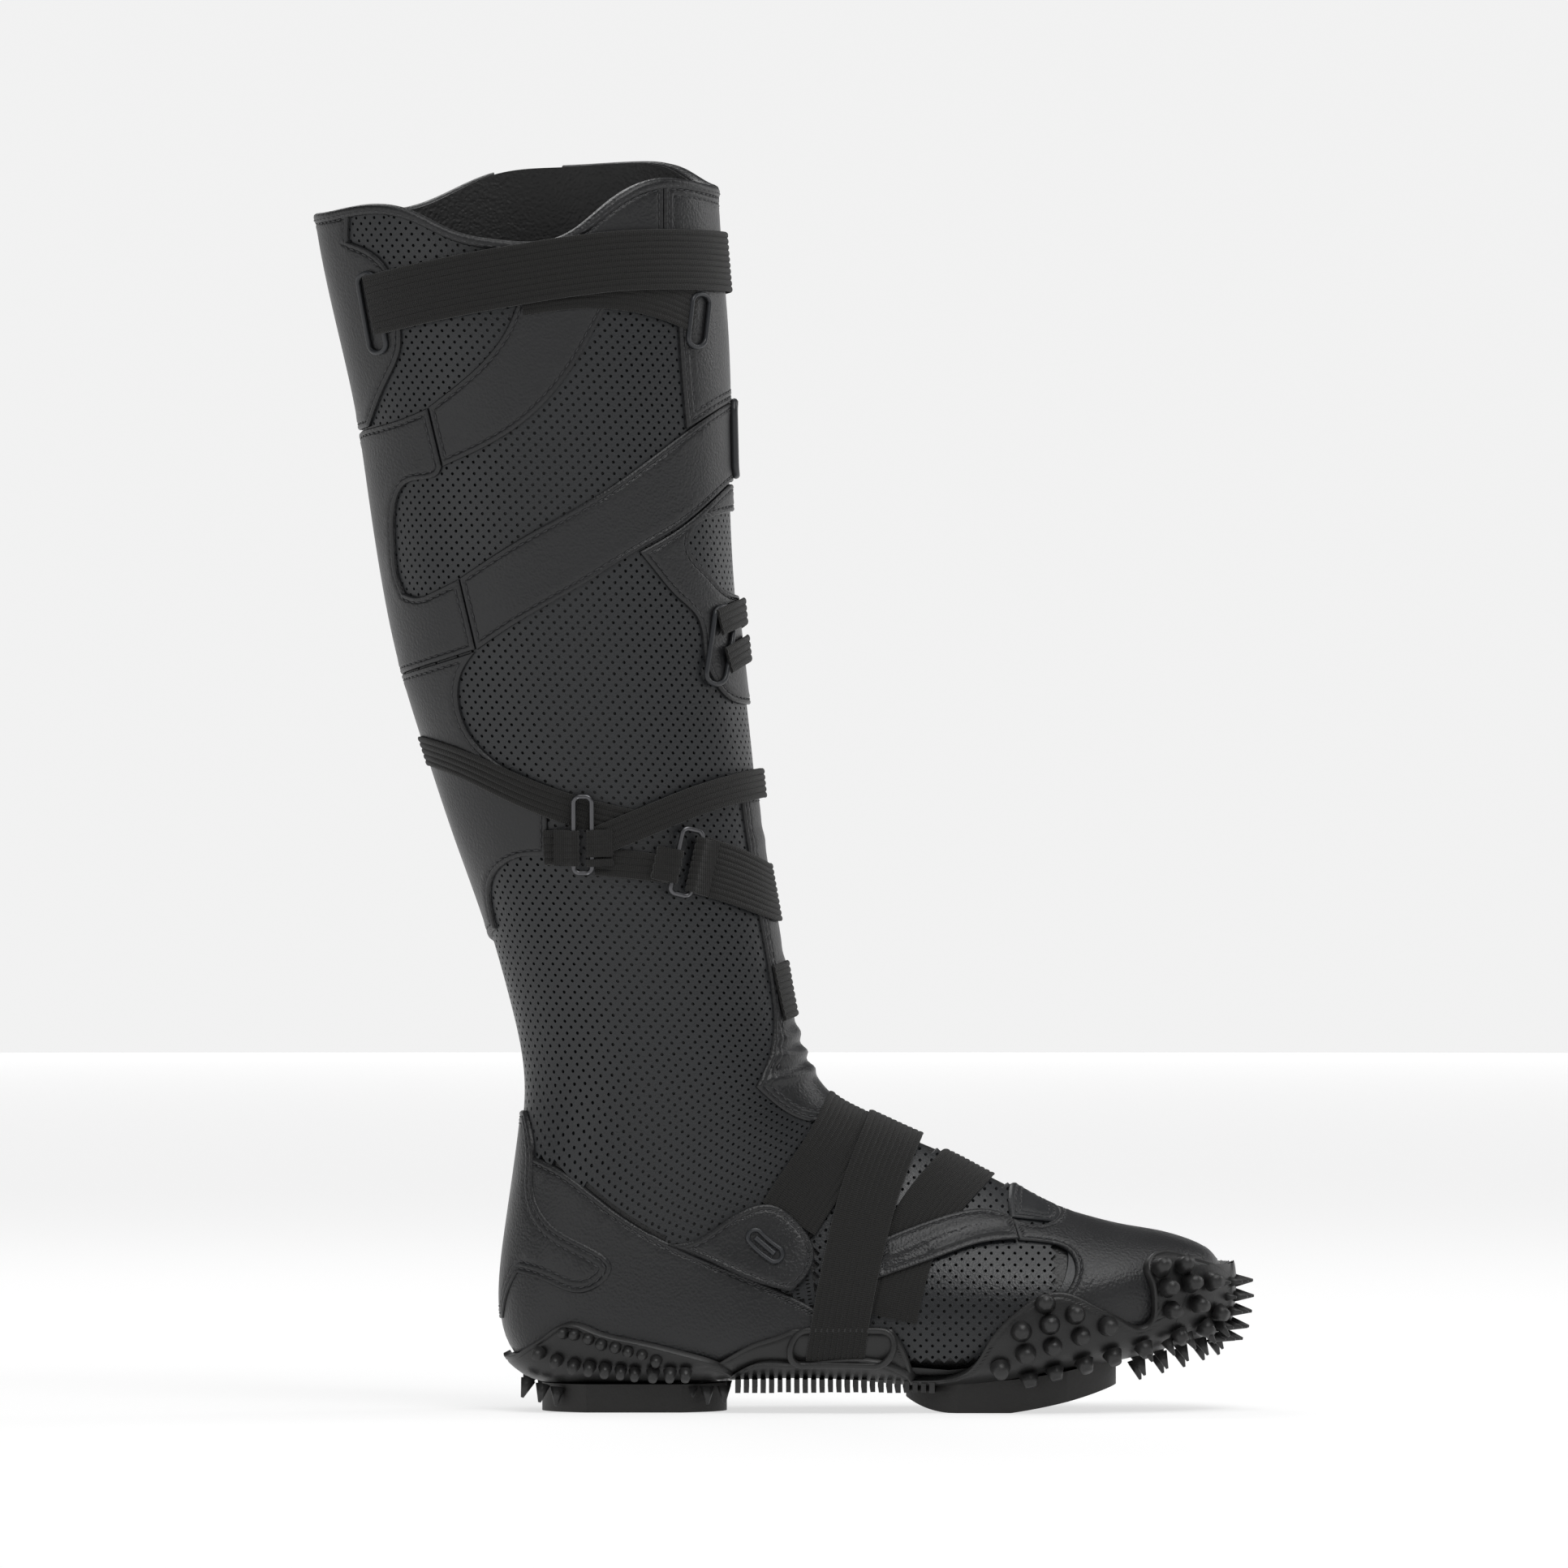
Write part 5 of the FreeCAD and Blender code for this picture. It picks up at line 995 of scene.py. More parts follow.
# ------------------------------------------------------------------ repeated details
def repeating_tree(name, shape):
    """Node tree that puts one small shape at each point, turned by its along and out directions."""
    tree = bpy.data.node_groups.new(name, "GeometryNodeTree")
    face = tree.interface
    face.new_socket("Geometry", in_out="INPUT", socket_type="NodeSocketGeometry")
    for label in ("Length", "Width", "Height"):
        socket = face.new_socket(label, in_out="INPUT", socket_type="NodeSocketFloat")
        socket.default_value = 0.001
    face.new_socket("Seed", in_out="INPUT", socket_type="NodeSocketInt")
    face.new_socket("Material", in_out="INPUT", socket_type="NodeSocketMaterial")
    face.new_socket("Geometry", in_out="OUTPUT", socket_type="NodeSocketGeometry")
    start = tree.nodes.new("NodeGroupInput")
    end = tree.nodes.new("NodeGroupOutput")
    if shape == "bead":
        body = node(tree, "GeometryNodeMeshUVSphere", values={"Segments": 7, "Rings": 5, "Radius": 0.5})
    elif shape == "spike":
        body = node(tree, "GeometryNodeMeshCone", values={
            "Vertices": 16, "Side Segments": 1, "Fill Segments": 1,
            "Radius Top": 0.10, "Radius Bottom": 0.5, "Depth": 1.0})
    elif shape == "stud":
        body = node(tree, "GeometryNodeMeshCone", values={
            "Vertices": 24, "Side Segments": 1, "Fill Segments": 1,
            "Radius Top": 0.28, "Radius Bottom": 0.5, "Depth": 1.0})
    else:
        body = node(tree, "GeometryNodeMeshCube", values={"Size": (1, 1, 1)})
    size = node(tree, "ShaderNodeCombineXYZ", {"X": start.outputs["Length"], "Y": start.outputs["Width"],
                                               "Z": start.outputs["Height"]})
    jitter = node(tree, "FunctionNodeRandomValue", {"Seed": start.outputs["Seed"]}, data_type="FLOAT")
    jitter.inputs[2].default_value = 0.94
    jitter.inputs[3].default_value = 1.06
    scaled = node(tree, "ShaderNodeVectorMath", {0: size.outputs[0]}, operation="SCALE")
    tree.links.new(jitter.outputs[1], scaled.inputs["Scale"])
    along = node(tree, "GeometryNodeInputNamedAttribute", values={"Name": "along"}, data_type="FLOAT_VECTOR")
    out = node(tree, "GeometryNodeInputNamedAttribute", values={"Name": "out"}, data_type="FLOAT_VECTOR")
    turn = node(tree, "FunctionNodeAlignRotationToVector", {"Vector": along.outputs[0]}, axis="X")
    turned = node(tree, "FunctionNodeAlignRotationToVector", {"Rotation": turn.outputs[0],
                                                              "Vector": out.outputs[0]}, axis="Z", pivot_axis="X")
    put = node(tree, "GeometryNodeInstanceOnPoints",
               {"Points": start.outputs["Geometry"], "Instance": body.outputs[0],
                "Rotation": turned.outputs[0], "Scale": scaled.outputs[0]})
    real = node(tree, "GeometryNodeRealizeInstances", {"Geometry": put.outputs[0]})
    dress = node(tree, "GeometryNodeSetMaterial", {"Geometry": real.outputs[0],
                                                  "Material": start.outputs["Material"]})
    tree.links.new(dress.outputs[0], end.inputs[0])
    return tree


TREES = {}


def repeated(name, shape, places, along, out, size, material, nodes=(), body="boot", sharp=50,
             seed=3):
    """Small equal shapes at the places, as one plain mesh."""
    if shape not in TREES:
        TREES[shape] = repeating_tree("repeat_" + shape, shape)
    tree = TREES[shape]
    mesh = bpy.data.meshes.new(name + "_places")
    mesh.from_pydata((np.asarray(places) * 0.001).tolist(), [], [])
    for label, values in (("along", along), ("out", out)):
        attribute = mesh.attributes.new(label, "FLOAT_VECTOR", "POINT")
        attribute.data.foreach_set("vector", np.asarray(values, np.float32).ravel())
    source = bpy.data.objects.new(name + "_places", mesh)
    bpy.context.scene.collection.objects.link(source)
    modifier = source.modifiers.new("repeat", "NODES")
    modifier.node_group = tree
    ids = {item.name: item.identifier for item in tree.interface.items_tree if item.in_out == "INPUT"}
    for label, value in zip(("Length", "Width", "Height"), size):
        modifier[ids[label]] = value * 0.001
    modifier[ids["Seed"]] = seed
    modifier[ids["Material"]] = material
    bpy.context.view_layer.update()
    graph = bpy.context.evaluated_depsgraph_get()
    plain = bpy.data.meshes.new_from_object(source.evaluated_get(graph))
    source.modifiers.clear()
    bpy.data.objects.remove(source)
    for label in ("along", "out"):
        if label in plain.attributes:
            plain.attributes.remove(plain.attributes[label])
    plain.polygons.foreach_set("use_smooth", [True] * len(plain.polygons))
    plain.set_sharp_from_angle(angle=math.radians(sharp))
    plain.update()
    piece = bpy.data.objects.new(name, plain)
    bpy.context.scene.collection.objects.link(piece)
    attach(piece, body)
    if nodes:
        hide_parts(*nodes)
    return piece


def stitches(name, lines, sizes, offset=4.62, material="thread"):
    """Thread stitches along lines of u and v."""
    places, along, out = [], [], []
    pitch = (sizes.stitch_length + sizes.stitch_gap) * 1000
    for line in lines:
        total = measured(line)[-1]
        if total < pitch * 2:
            continue
        even = respaced(line, pitch, 4.7)
        p = on_form(even[:, 0], even[:, 1], offset(even) if callable(offset) else offset)
        t = np.gradient(p, axis=0)
        t /= np.linalg.norm(t, axis=1, keepdims=True)
        n = normals(even[:, 0], even[:, 1])
        places.append(p[:-1] + (p[1:] - p[:-1]) / 2)
        along.append(t[:-1])
        out.append(n[:-1])
    if not places:
        return None
    size = (sizes.stitch_length * 1000, sizes.thread * 1000, sizes.thread * 900)
    return repeated(name, "bead", np.concatenate(places), np.concatenate(along), np.concatenate(out), size,
                    MATERIALS[material])


# ------------------------------------------------------------------ perforated leather
def perforated(side, region, covers, sizes, box=None):
    """Sheet of diamond cells with a round hole in each, inside a region and clear of its covers.

    The lattice follows the girth of the leg, or lies square in side view when a box of x and z is given.
    """
    pitch, row, radius = sizes.pitch * 1000, sizes.row * 1000, sizes.hole * 500
    surface = BASE + (SKIN[1] - OVER[1]) * GROW
    middle = round((0.25 if side == LAT else 0.75) * COLUMNS)
    steps = np.linalg.norm(np.diff(surface, axis=1), axis=2)
    arcs = np.concatenate([np.zeros((ROWS, 1)), np.cumsum(steps, axis=1)], axis=1)
    arcs -= arcs[:, middle:middle + 1]
    down = np.concatenate([[0], np.cumsum(np.linalg.norm(np.diff(surface[:, middle], axis=0), axis=1))])
    low, high = region.min(0), region.max(0)
    t0, t1 = np.interp([low[1], high[1]], np.linspace(0, 1, ROWS), down)
    half = 105.0
    na, nb = int(half / (pitch / 2)), int((t1 - t0) / row)
    a = np.arange(-na, na + 1)
    b = np.arange(0, nb + 1)
    us = np.linspace(0, 1, COLUMNS + 1)

    def to_uv(s, t):
        v = np.interp(t, down, np.linspace(0, 1, ROWS))
        g = v * (ROWS - 1)
        r = np.clip(g.astype(int), 0, ROWS - 2)
        f = g - r
        u = np.empty_like(s)
        flat_s, flat_r, flat_f, flat_u = s.ravel(), r.ravel(), f.ravel(), u.ravel()
        for key in np.unique(flat_r):
            pick = flat_r == key
            arc = arcs[key] * (1 - flat_f[pick].mean()) + arcs[key + 1] * flat_f[pick].mean()
            flat_u[pick] = np.interp(flat_s[pick], arc, us)
        return flat_u.reshape(s.shape), v
    if box is None:
        sa, tb = np.meshgrid(a * pitch / 2, t0 + b * row)
        cu, cv = to_uv(sa, tb)
        sure = np.ones(cu.shape, bool)
    else:
        a = np.arange(int((box[1] - box[0]) / (pitch / 2)) + 1)
        b = np.arange(int((box[3] - box[2]) / row) + 1)
        sa, tb = np.meshgrid(box[0] + a * pitch / 2, box[3] - b * row)
        wanted = np.stack([sa.ravel(), tb.ravel()], 1)
        found = locate(wanted, side, SKIN[1])
        cu, cv = found[:, 0].reshape(sa.shape), found[:, 1].reshape(sa.shape)
        got = on_form(found[:, 0], found[:, 1], SKIN[1])
        aim = graded(wanted)
        sure = (np.hypot(got[:, 0] - aim[:, 0], got[:, 2] - aim[:, -1]) < 0.3).reshape(sa.shape)
    ai, bi = np.meshgrid(a, b)
    even = (ai + bi) % 2 == 0
    even[1:-1, 1:-1] &= sure[1:-1, 2:] & sure[1:-1, :-2] & sure[2:, 1:-1] & sure[:-2, 1:-1]
    inner = np.zeros_like(even)
    inner[1:-1, 1:-1] = even[1:-1, 1:-1]
    centres = np.stack([cu[inner], cv[inner]], 1)
    good = within(centres, region)
    for cover in covers:
        hidden = within(centres, cover)
        if hidden.any():
            picked = np.nonzero(hidden & good)[0]
            if len(picked):
                deep = edge_distance(centres[picked], cover) > 4.5
                good[picked[deep]] = False
    near = np.zeros(len(good), bool)
    picked = np.nonzero(good)[0]
    near[picked] = edge_distance(centres[picked], region) < 0.5
    good &= ~near
    bb, aa = np.nonzero(inner)
    bb, aa = bb[good], aa[good]
    index = np.arange(cu.size).reshape(cu.shape)
    corners = np.stack([index[bb, aa + 1], index[bb + 1, aa], index[bb, aa - 1], index[bb - 1, aa]], 1)
    angles = np.arange(8) * math.pi / 4
    ring = radius * np.cos(angles), radius * np.sin(angles)
    pu, pv = ((c[bb, aa + 1] - c[bb, aa - 1])[:, None] / pitch for c in (cu, cv))
    ru, rv = ((c[bb + 1, aa] - c[bb - 1, aa])[:, None] / (2 * row) for c in (cu, cv))
    hu = cu[bb, aa][:, None] + pu * ring[0] + ru * ring[1]
    hv = cv[bb, aa][:, None] + pv * ring[0] + rv * ring[1]
    base = cu.size
    holes = base + np.arange(len(bb) * 8).reshape(-1, 8)
    tris = []
    for q in range(4):
        c0, c1 = corners[:, q], corners[:, (q + 1) % 4]
        h0, h1, h2 = holes[:, 2 * q], holes[:, 2 * q + 1], holes[:, (2 * q + 2) % 8]
        tris += [np.stack([c0, h1, h0], 1), np.stack([c0, c1, h1], 1), np.stack([c1, h2, h1], 1)]
    faces = np.concatenate(tris)
    u = np.concatenate([cu.ravel(), hu.ravel()])
    v = np.concatenate([cv.ravel(), hv.ravel()])
    used, faces = np.unique(faces, return_inverse=True)
    faces = faces.reshape(-1, 3)
    u, v = u[used], v[used]
    top, bottom = on_form(u, v, SKIN[1]), on_form(u, v, SKIN[0])
    face = faces[0]
    way = np.cross(top[face[1]] - top[face[0]], top[face[2]] - top[face[0]])
    if (way * normals(u[face[:1]], v[face[:1]])[0]).sum() < 0:
        faces = faces[:, ::-1]
    return thickened(top, bottom, faces)


# ------------------------------------------------------------------ seats of the two rings
def ring_seat(centre, tilt):
    """Axes at a ring: centre, across its bars, along them, out from the leg."""
    at = locate([centre], LAT, RING_LEVEL)
    middle = on_form(*at.T, RING_LEVEL)[0]
    out = normals(*at.T, RING_LEVEL)[0]
    angle = math.radians(tilt)
    along = np.array([math.sin(angle), 0, math.cos(angle)])
    along -= out * (along @ out)
    along /= np.linalg.norm(along)
    return middle, np.cross(along, out), along, out


def loop_mesh(seat, bar, v0, v1, way, ribs, tail=7.5, wire=0.9, gap=0.45, lift=0.85, wall=0.8):
    """Webbing folded round a ring's bar and laid back on itself, in ring axes."""
    centre, across, along, out = seat
    a, b = wire + gap + wall, wire + lift + wall
    ia, ib = wire + gap, wire + lift
    angles = np.radians(np.linspace(-90, 122, 22))
    contour = [(way * tail, -b)] + [(-way * a * math.cos(t), b * math.sin(t)) for t in angles]
    contour += [(way * tail * 0.55, -0.15), (way * tail, -0.75)]
    contour = np.array(contour)
    inner_angles = np.radians(np.linspace(-130, 190, len(contour)))
    hole = np.stack([-way * ia * np.cos(inner_angles), ib * np.sin(inner_angles)], 1)
    rows = np.linspace(v0, v1, ribs * 6 + 1)
    phase = (rows - v0) / (v1 - v0) * ribs
    rib = np.abs(np.sin(phase * math.pi)) ** 0.7
    verts, n = [], len(contour)
    for row, r in zip(rows, rib):
        shrink = 0.35 * (1 - r)
        size = np.linalg.norm(contour, axis=1, keepdims=True)
        outer = contour * (1 - shrink / np.maximum(size, 1.0))
        for ring in (outer, hole):
            verts.append(centre + np.outer(ring[:, 0] + bar, across) + along * row + np.outer(ring[:, 1], out))
    verts = np.concatenate(verts)
    faces = []
    for k in range(len(rows) - 1):
        o0, i0, o1, i1 = (2 * k) * n, (2 * k + 1) * n, (2 * k + 2) * n, (2 * k + 3) * n
        for j in range(n):
            m = (j + 1) % n
            faces.append([o0 + j, o0 + m, o1 + m, o1 + j])
            faces.append([i0 + j, i1 + j, i1 + m, i0 + m])
    last = (2 * (len(rows) - 1)) * n
    for j in range(n):
        m = (j + 1) % n
        faces.append([j, n + j, n + m, m])
        faces.append([last + j, last + m, last + n + m, last + n + j])
    middle = verts.mean(0)
    f = faces[0]
    turn = np.cross(verts[f[1]] - verts[f[0]], verts[f[2]] - verts[f[0]])
    if turn @ (verts[f[0]] - middle) < 0:
        faces = [face[::-1] for face in faces]
    return verts, faces


def grid_block(d, s, level, thick, wave=None):
    """Closed sheet in zip axes over rows d and columns s."""
    dd, ss = np.meshgrid(d, s, indexing="ij")
    rise = wave(dd, ss) if wave else 0 * dd
    top = zip_place(dd.ravel(), ss.ravel(), (level + thick + rise).ravel())
    low = zip_place(dd.ravel(), ss.ravel(), np.full(dd.size, level))
    index = np.arange(dd.size).reshape(dd.shape)
    a, b, c, e = index[:-1, :-1].ravel(), index[1:, :-1].ravel(), index[1:, 1:].ravel(), index[:-1, 1:].ravel()
    faces = np.concatenate([np.stack([a, b, c], 1), np.stack([a, c, e], 1)])
    face = faces[0]
    if np.cross(top[face[1]] - top[face[0]], top[face[2]] - top[face[0]]) @ ZIP_OUT < 0:
        faces = faces[:, ::-1]
    return thickened(top, low, faces)


def zip_line(s, d0, d1, count=40):
    """u and v of a line beside the zip on the medial side."""
    places = zip_place(np.linspace(d0, d1, count), np.full(count, s), np.zeros(count))[:, [0, 2]]
    places[:, 0] /= SCALE_X
    high = places[:, 1] > ANKLE_Z
    places[high, 1] = ANKLE_Z + (places[high, 1] - ANKLE_Z) / SCALE_Z
    return places.tolist()


FRONT_SIGN = 1.0 if ZIP_ACROSS[0] > 0 else -1.0


def straps():
    """Webbing straps: name, nodes, line of u and v, width, layer and number of ribs."""
    def line(*runs, wrap=False):
        return np.concatenate(path(*runs, wrap=wrap))
    return [
        ("strap_calf", ("strap_calf",), line(
            (LAT, [(-92.5, 393.5), (-68, 399), (-41, 404), (-0.5, 409.5), (31.5, 410)]),
            (MED, [(31.5, 410), (10, 406), (-12, 400)])), 21.5, STRAP2, 10),
        ("strap_calf_return", (), line(
            (LAT, [(-40, 397), (-20, 399.5), (0, 398.5), (12, 395.5), (21.5, 391.5)])), 15.0, RETURN_STRAP, 7),
        ("strap_front", (), line(
            (LAT, [(51, 149), (56.5, 151)]), (MED, [(56.5, 151), (42, 147), (22, 143)])), 20.0, STRAP, 9),
        ("shin_elastic_upper", ("shin_elastics",), line(
            (LAT, [(29, 281), (38, 285.5)]), (MED, [(38, 285.5), (28, 279), (16, 271.5)])), 9.5, STRAP2, 4),
        ("shin_elastic_lower", (), line(
            (LAT, [(32, 267.5), (39.5, 272.3)]), (MED, [(39.5, 272.3), (28, 266), (16, 259)])), 9.5, STRAP2, 4),
        ("strap_cross_upper", ("strap_cross_upper",), line(
            (MED, [(-45, 229), (-60, 232), (-74, 235.3)]),
            (LAT, [(-74, 235.3), (-62, 231), (-41, 221.5), (-19, 213.5), (2, 208.5)]), wrap=True),
         11.0, STRAP, 5),
        ("strap_cross_lower", ("strap_cross_lower",), line(
            (LAT, [(-13.4, 202.9), (4, 210.3), (18, 216.3), (30, 220.5), (43.5, 224)]),
            (MED, [(43.5, 224), (30, 221.5), (12, 217)])), 10.6, STRAP2, 5),
        ("strap_link", ("strap_link",), line((LAT, [(-13.2, 196), (0, 194.8), (14.2, 192.9)])), 10.0, STRAP, 4),
        ("ring_tab", ("ring_tab",), line((LAT, [(-31.5, 200.9), (-23.5, 200.9)])), 12.6, STRAP, 5),
        ("strap_ankle", ("strap_ankle",), line(
            (LAT, [(23.5, 194.7), (34, 191.5), (49.2, 185)]),
            (MED, [(49.2, 185), (30, 180), (12, 176.4)])), 21.0, STRAP, 10),
        ("strap_instep_rear", ("strap_instep_rear",), line(
            (MED, [(59.5, 76), (71, 93), (79.2, 108)]),
            (LAT, [(79.2, 108), (71, 93), (59.5, 76), (55, 69)])), 22.0, MID_STRAP, 11),
        ("strap_instep_middle", ("strap_instep_middle",), line(
            (MED, [(72.6, 19), (75, 40), (79, 62), (84.5, 83), (92, 102.3)]),
            (LAT, [(92, 102.3), (84.5, 83), (79, 62), (75, 40), (72.6, 19)])), 20.5, STRAP2, 10),
        ("strap_instep_front", ("strap_instep_front",), line(
            (MED, [(90.5, 34), (94, 48), (99, 62), (108, 76), (120, 88.9)]),
            (LAT, [(120, 88.9), (108, 76), (99, 62), (94, 48), (90.5, 34)])), 20.0, LOW_STRAP, 10),
    ]


# ------------------------------------------------------------------ settings
class BootSizes(bpy.types.PropertyGroup):
    """Sizes of the sewn and punched details."""
    pitch: FloatProperty(name="Pitch", description="Distance between holes in a row",
                         default=0.0042, unit="LENGTH")
    row: FloatProperty(name="Row", description="Distance between rows of holes", default=0.00204, unit="LENGTH")
    hole: FloatProperty(name="Hole", description="Diameter of a hole", default=0.00118, unit="LENGTH")
    stitch_length: FloatProperty(name="Stitch", description="Length of one stitch",
                                 default=0.0024, unit="LENGTH")
    stitch_gap: FloatProperty(name="Stitch gap", description="Leather between two stitches",
                              default=0.0008, unit="LENGTH")
    thread: FloatProperty(name="Thread", description="Thickness of the thread", default=0.00062, unit="LENGTH")
    stitch_depth: FloatProperty(name="Seam depth", description="Distance of a seam from its edge",
                                default=0.002, unit="LENGTH")
    tooth_pitch: FloatProperty(name="Tooth pitch", description="Distance between zip teeth",
                               default=0.0024, unit="LENGTH")


class StageSettings(bpy.types.PropertyGroup):
    """Camera and light."""
    distance: FloatProperty(name="Distance", description="From the camera to the boot",
                            default=6.0, unit="LENGTH")
    across: FloatProperty(name="Across", description="Width that the picture shows",
                          default=0.5603, unit="LENGTH")
    aim_x: FloatProperty(name="Aim along", description="Middle of the picture along the boot",
                         default=0.0534, unit="LENGTH")
    aim_z: FloatProperty(name="Aim height", description="Middle of the picture above the floor",
                         default=0.2236, unit="LENGTH")
    floor_glow: FloatProperty(name="Floor glow", description="Light that the floor itself gives", default=0.66)
    backdrop_glow: FloatProperty(name="Backdrop glow", description="Light that the backdrop gives",
                                 default=0.87)
    seed: IntProperty(name="Seed", description="Fixed seed of small differences", default=3)


# ------------------------------------------------------------------ operators
class BOOT_OT_materials(bpy.types.Operator):
    """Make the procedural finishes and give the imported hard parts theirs"""
    bl_idname = "boot.materials"
    bl_label = "Finishes"

    def execute(self, context):
        build_materials()
        kept = {
            "ring_metal": ["ring_rear", "ring_front"],
            "zip_metal": ["zip_slider", "zip_puller"],
            "pad_rubber": ["heel_pad", "forefoot_pad"],
            "midsole_foam": ["midsole"],
            "footbed_foam": ["footbed"],
            "board": ["lasting_board"],
            "shank_steel": ["shank"],
            "stiffener": ["heel_stiffener", "toe_puff"],
        }
        for label, names in kept.items():
            for name in names:
                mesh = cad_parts[name].data
                mesh.materials.clear()
                mesh.materials.append(MATERIALS[label])
        return {"FINISHED"}


class BOOT_OT_lining(bpy.types.Operator):
    """Build the leather lining, open at the top and along the zip"""
    bl_idname = "boot.lining"
    bl_label = "Lining"

    def execute(self, context):
        edge = collar_edge(1.0)
        verts, faces = sleeve(edge, lambda u: np.full(len(u), 1.0), LINING, 260, 330, off_zip, nose=1.5)
        make("lining_leather", verts, faces, MATERIALS["lining"], ("lining",), sharp=60)
        return {"FINISHED"}


class BOOT_OT_skins(bpy.types.Operator):
    """Build the perforated leg and vamp, and the smooth heel, ankle and toe under the overlays"""
    bl_idname = "boot.skins"
    bl_label = "Main leather"

    def execute(self, context):
        sizes = context.scene.boot_sizes
        covers = list(leather_outlines().values())
        heel = outline((LAT, HEEL_SEAM), (LAT, [(66, 36), (68, 24), (68, 14)]),
                       (MED, [(68, 14), (68, 24), (66, 36)]), (MED, HEEL_SEAM[::-1]), wrap=True)
        ankle_low = [(44, 116), (52, 109), (62, 104), (72, 104.5), (79.5, 108.5)]
        flex = outline((LAT, [(44.5, 222), (38.5, 222)]), (LAT, FLEX_SEAM), (LAT, ankle_low),
                       (MED, ankle_low[::-1]), (MED, FLEX_SEAM[::-1]), (MED, [(38.5, 222), (44.5, 222)]))
        covers += [heel, flex]
        seam = zip_line(FRONT_SIGN * (ZIP_HALF + 0.3), 4, ZIP_LENGTH)
        back = zip_line(-FRONT_SIGN * (ZIP_HALF + 0.3), 4, ZIP_LENGTH)
        x_front, x_rear = seam[0][0], back[0][0]
        regions = {
            "leg_lateral": (LAT, outline(
                (LAT, collar_run(LAT, -114, 34)), (LAT, VAMP_SEAM), (LAT, HEEL_SEAM[::-1]))),
            "leg_medial_front": (MED, outline(
                (MED, collar_run(MED, x_front, 34)), (MED, VAMP_SEAM), (MED, HEEL_SEAM[:3:-1] + [(12, 60.5)]),
                (MED, [(12, 60.5), (8, 98)]), (MED, [(8, 98), seam[-1]]), (MED, seam[::-1]))),
            "leg_medial_rear": (MED, outline(
                (MED, collar_run(MED, -114, x_rear)), (MED, back), (MED, [back[-1], (8, 97)]),
                (MED, [(8, 97), (12, 60.5)]), (MED, [(12, 60.5), (-6.5, 71), (-37, 90.5), (-46, 92.5)]))),
            "vamp_lateral": (LAT, outline((LAT, VAMP_SEAM), (LAT, [(66, 36), (70, 18)]), (LAT, [(70, 18), (121, 18)]),
                                          (LAT, TOE_SEAM[::-1]))),
            "vamp_medial": (MED, outline((MED, VAMP_SEAM), (MED, [(66, 36), (70, 18)]), (MED, [(70, 18), (121, 18)]),
                                         (MED, TOE_SEAM[::-1]))),
        }
        nodes = {"leg_lateral": ("leg_lateral",), "leg_medial_front": ("leg_medial_front",),
                 "leg_medial_rear": ("leg_medial_rear",), "vamp_lateral": ("vamp",), "vamp_medial": ()}
        for name, (side, region) in regions.items():
            box = (62, 152, 16, 116) if name.startswith("vamp") else None
            verts, faces = perforated(side, region, covers, sizes, box)
            make(name + "_leather", verts, faces, MATERIALS["perforated_leather"], nodes[name],
                 sharp=50)
        verts, faces = patch(heel, (SKIN[0], 4.2), grid=3.2)
        make("heel_quarter_leather", verts, faces, MATERIALS["smooth_leather"], ("heel_quarter",))
        stitches("heel_quarter_thread", stitch_line(heel, 2.0), sizes, 4.12)
        verts, faces = patch(flex, (SKIN[0], 4.3), grid=1.5, lift=folds, second=4.4)
        make("flex_panel_leather", verts, faces, MATERIALS["smooth_leather"], ("flex_panel_front",))
        stitches("flex_panel_thread", stitch_line(flex, 2.0) + stitch_line(flex, 4.4), sizes, 4.22)
        rim = edge_of_u(locate(smoothed([(150, 75), (155, 55), (149, 40), (119, 13)]), LAT),
                        locate(smoothed([(150, 75), (155, 55), (149, 40), (119, 13)]), MED))
        verts, faces = sleeve(rim, lambda u: np.full(len(u), 1.0), SKIN, 240, 70, nose=2.0)
        make("toe_box_leather", verts, faces, MATERIALS["perforated_leather"], ("toe_box",))
        return {"FINISHED"}


class BOOT_OT_overlays(bpy.types.Operator):
    """Build the smooth overlays with their seams"""
    bl_idname = "boot.overlays"
    bl_label = "Overlays"

    def execute(self, context):
        sizes = context.scene.boot_sizes
        depth = sizes.stitch_depth * 1000
        doubled = {"heel_overlay": 4.4, "front_placket": 4.2, "throat_end": 4.0}
        lifts = {"side_band": ridges, "ankle_wing": wing_fall}
        layers = {"side_band": BAND, "ankle_wing": WING}
        for name, loop in leather_outlines().items():
            layer = layers.get(name, OVER)
            verts, faces = patch(loop, layer, depth, lift=lifts.get(name), second=doubled.get(name))
            if name == "toe_cap":
                tip = sleeve(lambda u: np.full(len(u), 0.972), lambda u: np.full(len(u), 1.0), (3.6, 4.78),
                             200, 14, nose=2.4)
                verts, faces = merged([(verts, faces), tip])
            look = "perforated_leather" if name == "throat_end" else "smooth_leather"
            make(name + "_leather", verts, faces, MATERIALS[look], (name,))
            lines = stitch_line(loop, depth)
            if name in doubled:
                lines += stitch_line(loop, doubled[name])
            if name == "ankle_wing":
                level = lambda line: layer[1] - 0.1 + wing_fall(line, None)
            else:
                level = lambda line: layer[1] - 0.1
            stitches(name + "_thread", lines, sizes, level)
        return {"FINISHED"}


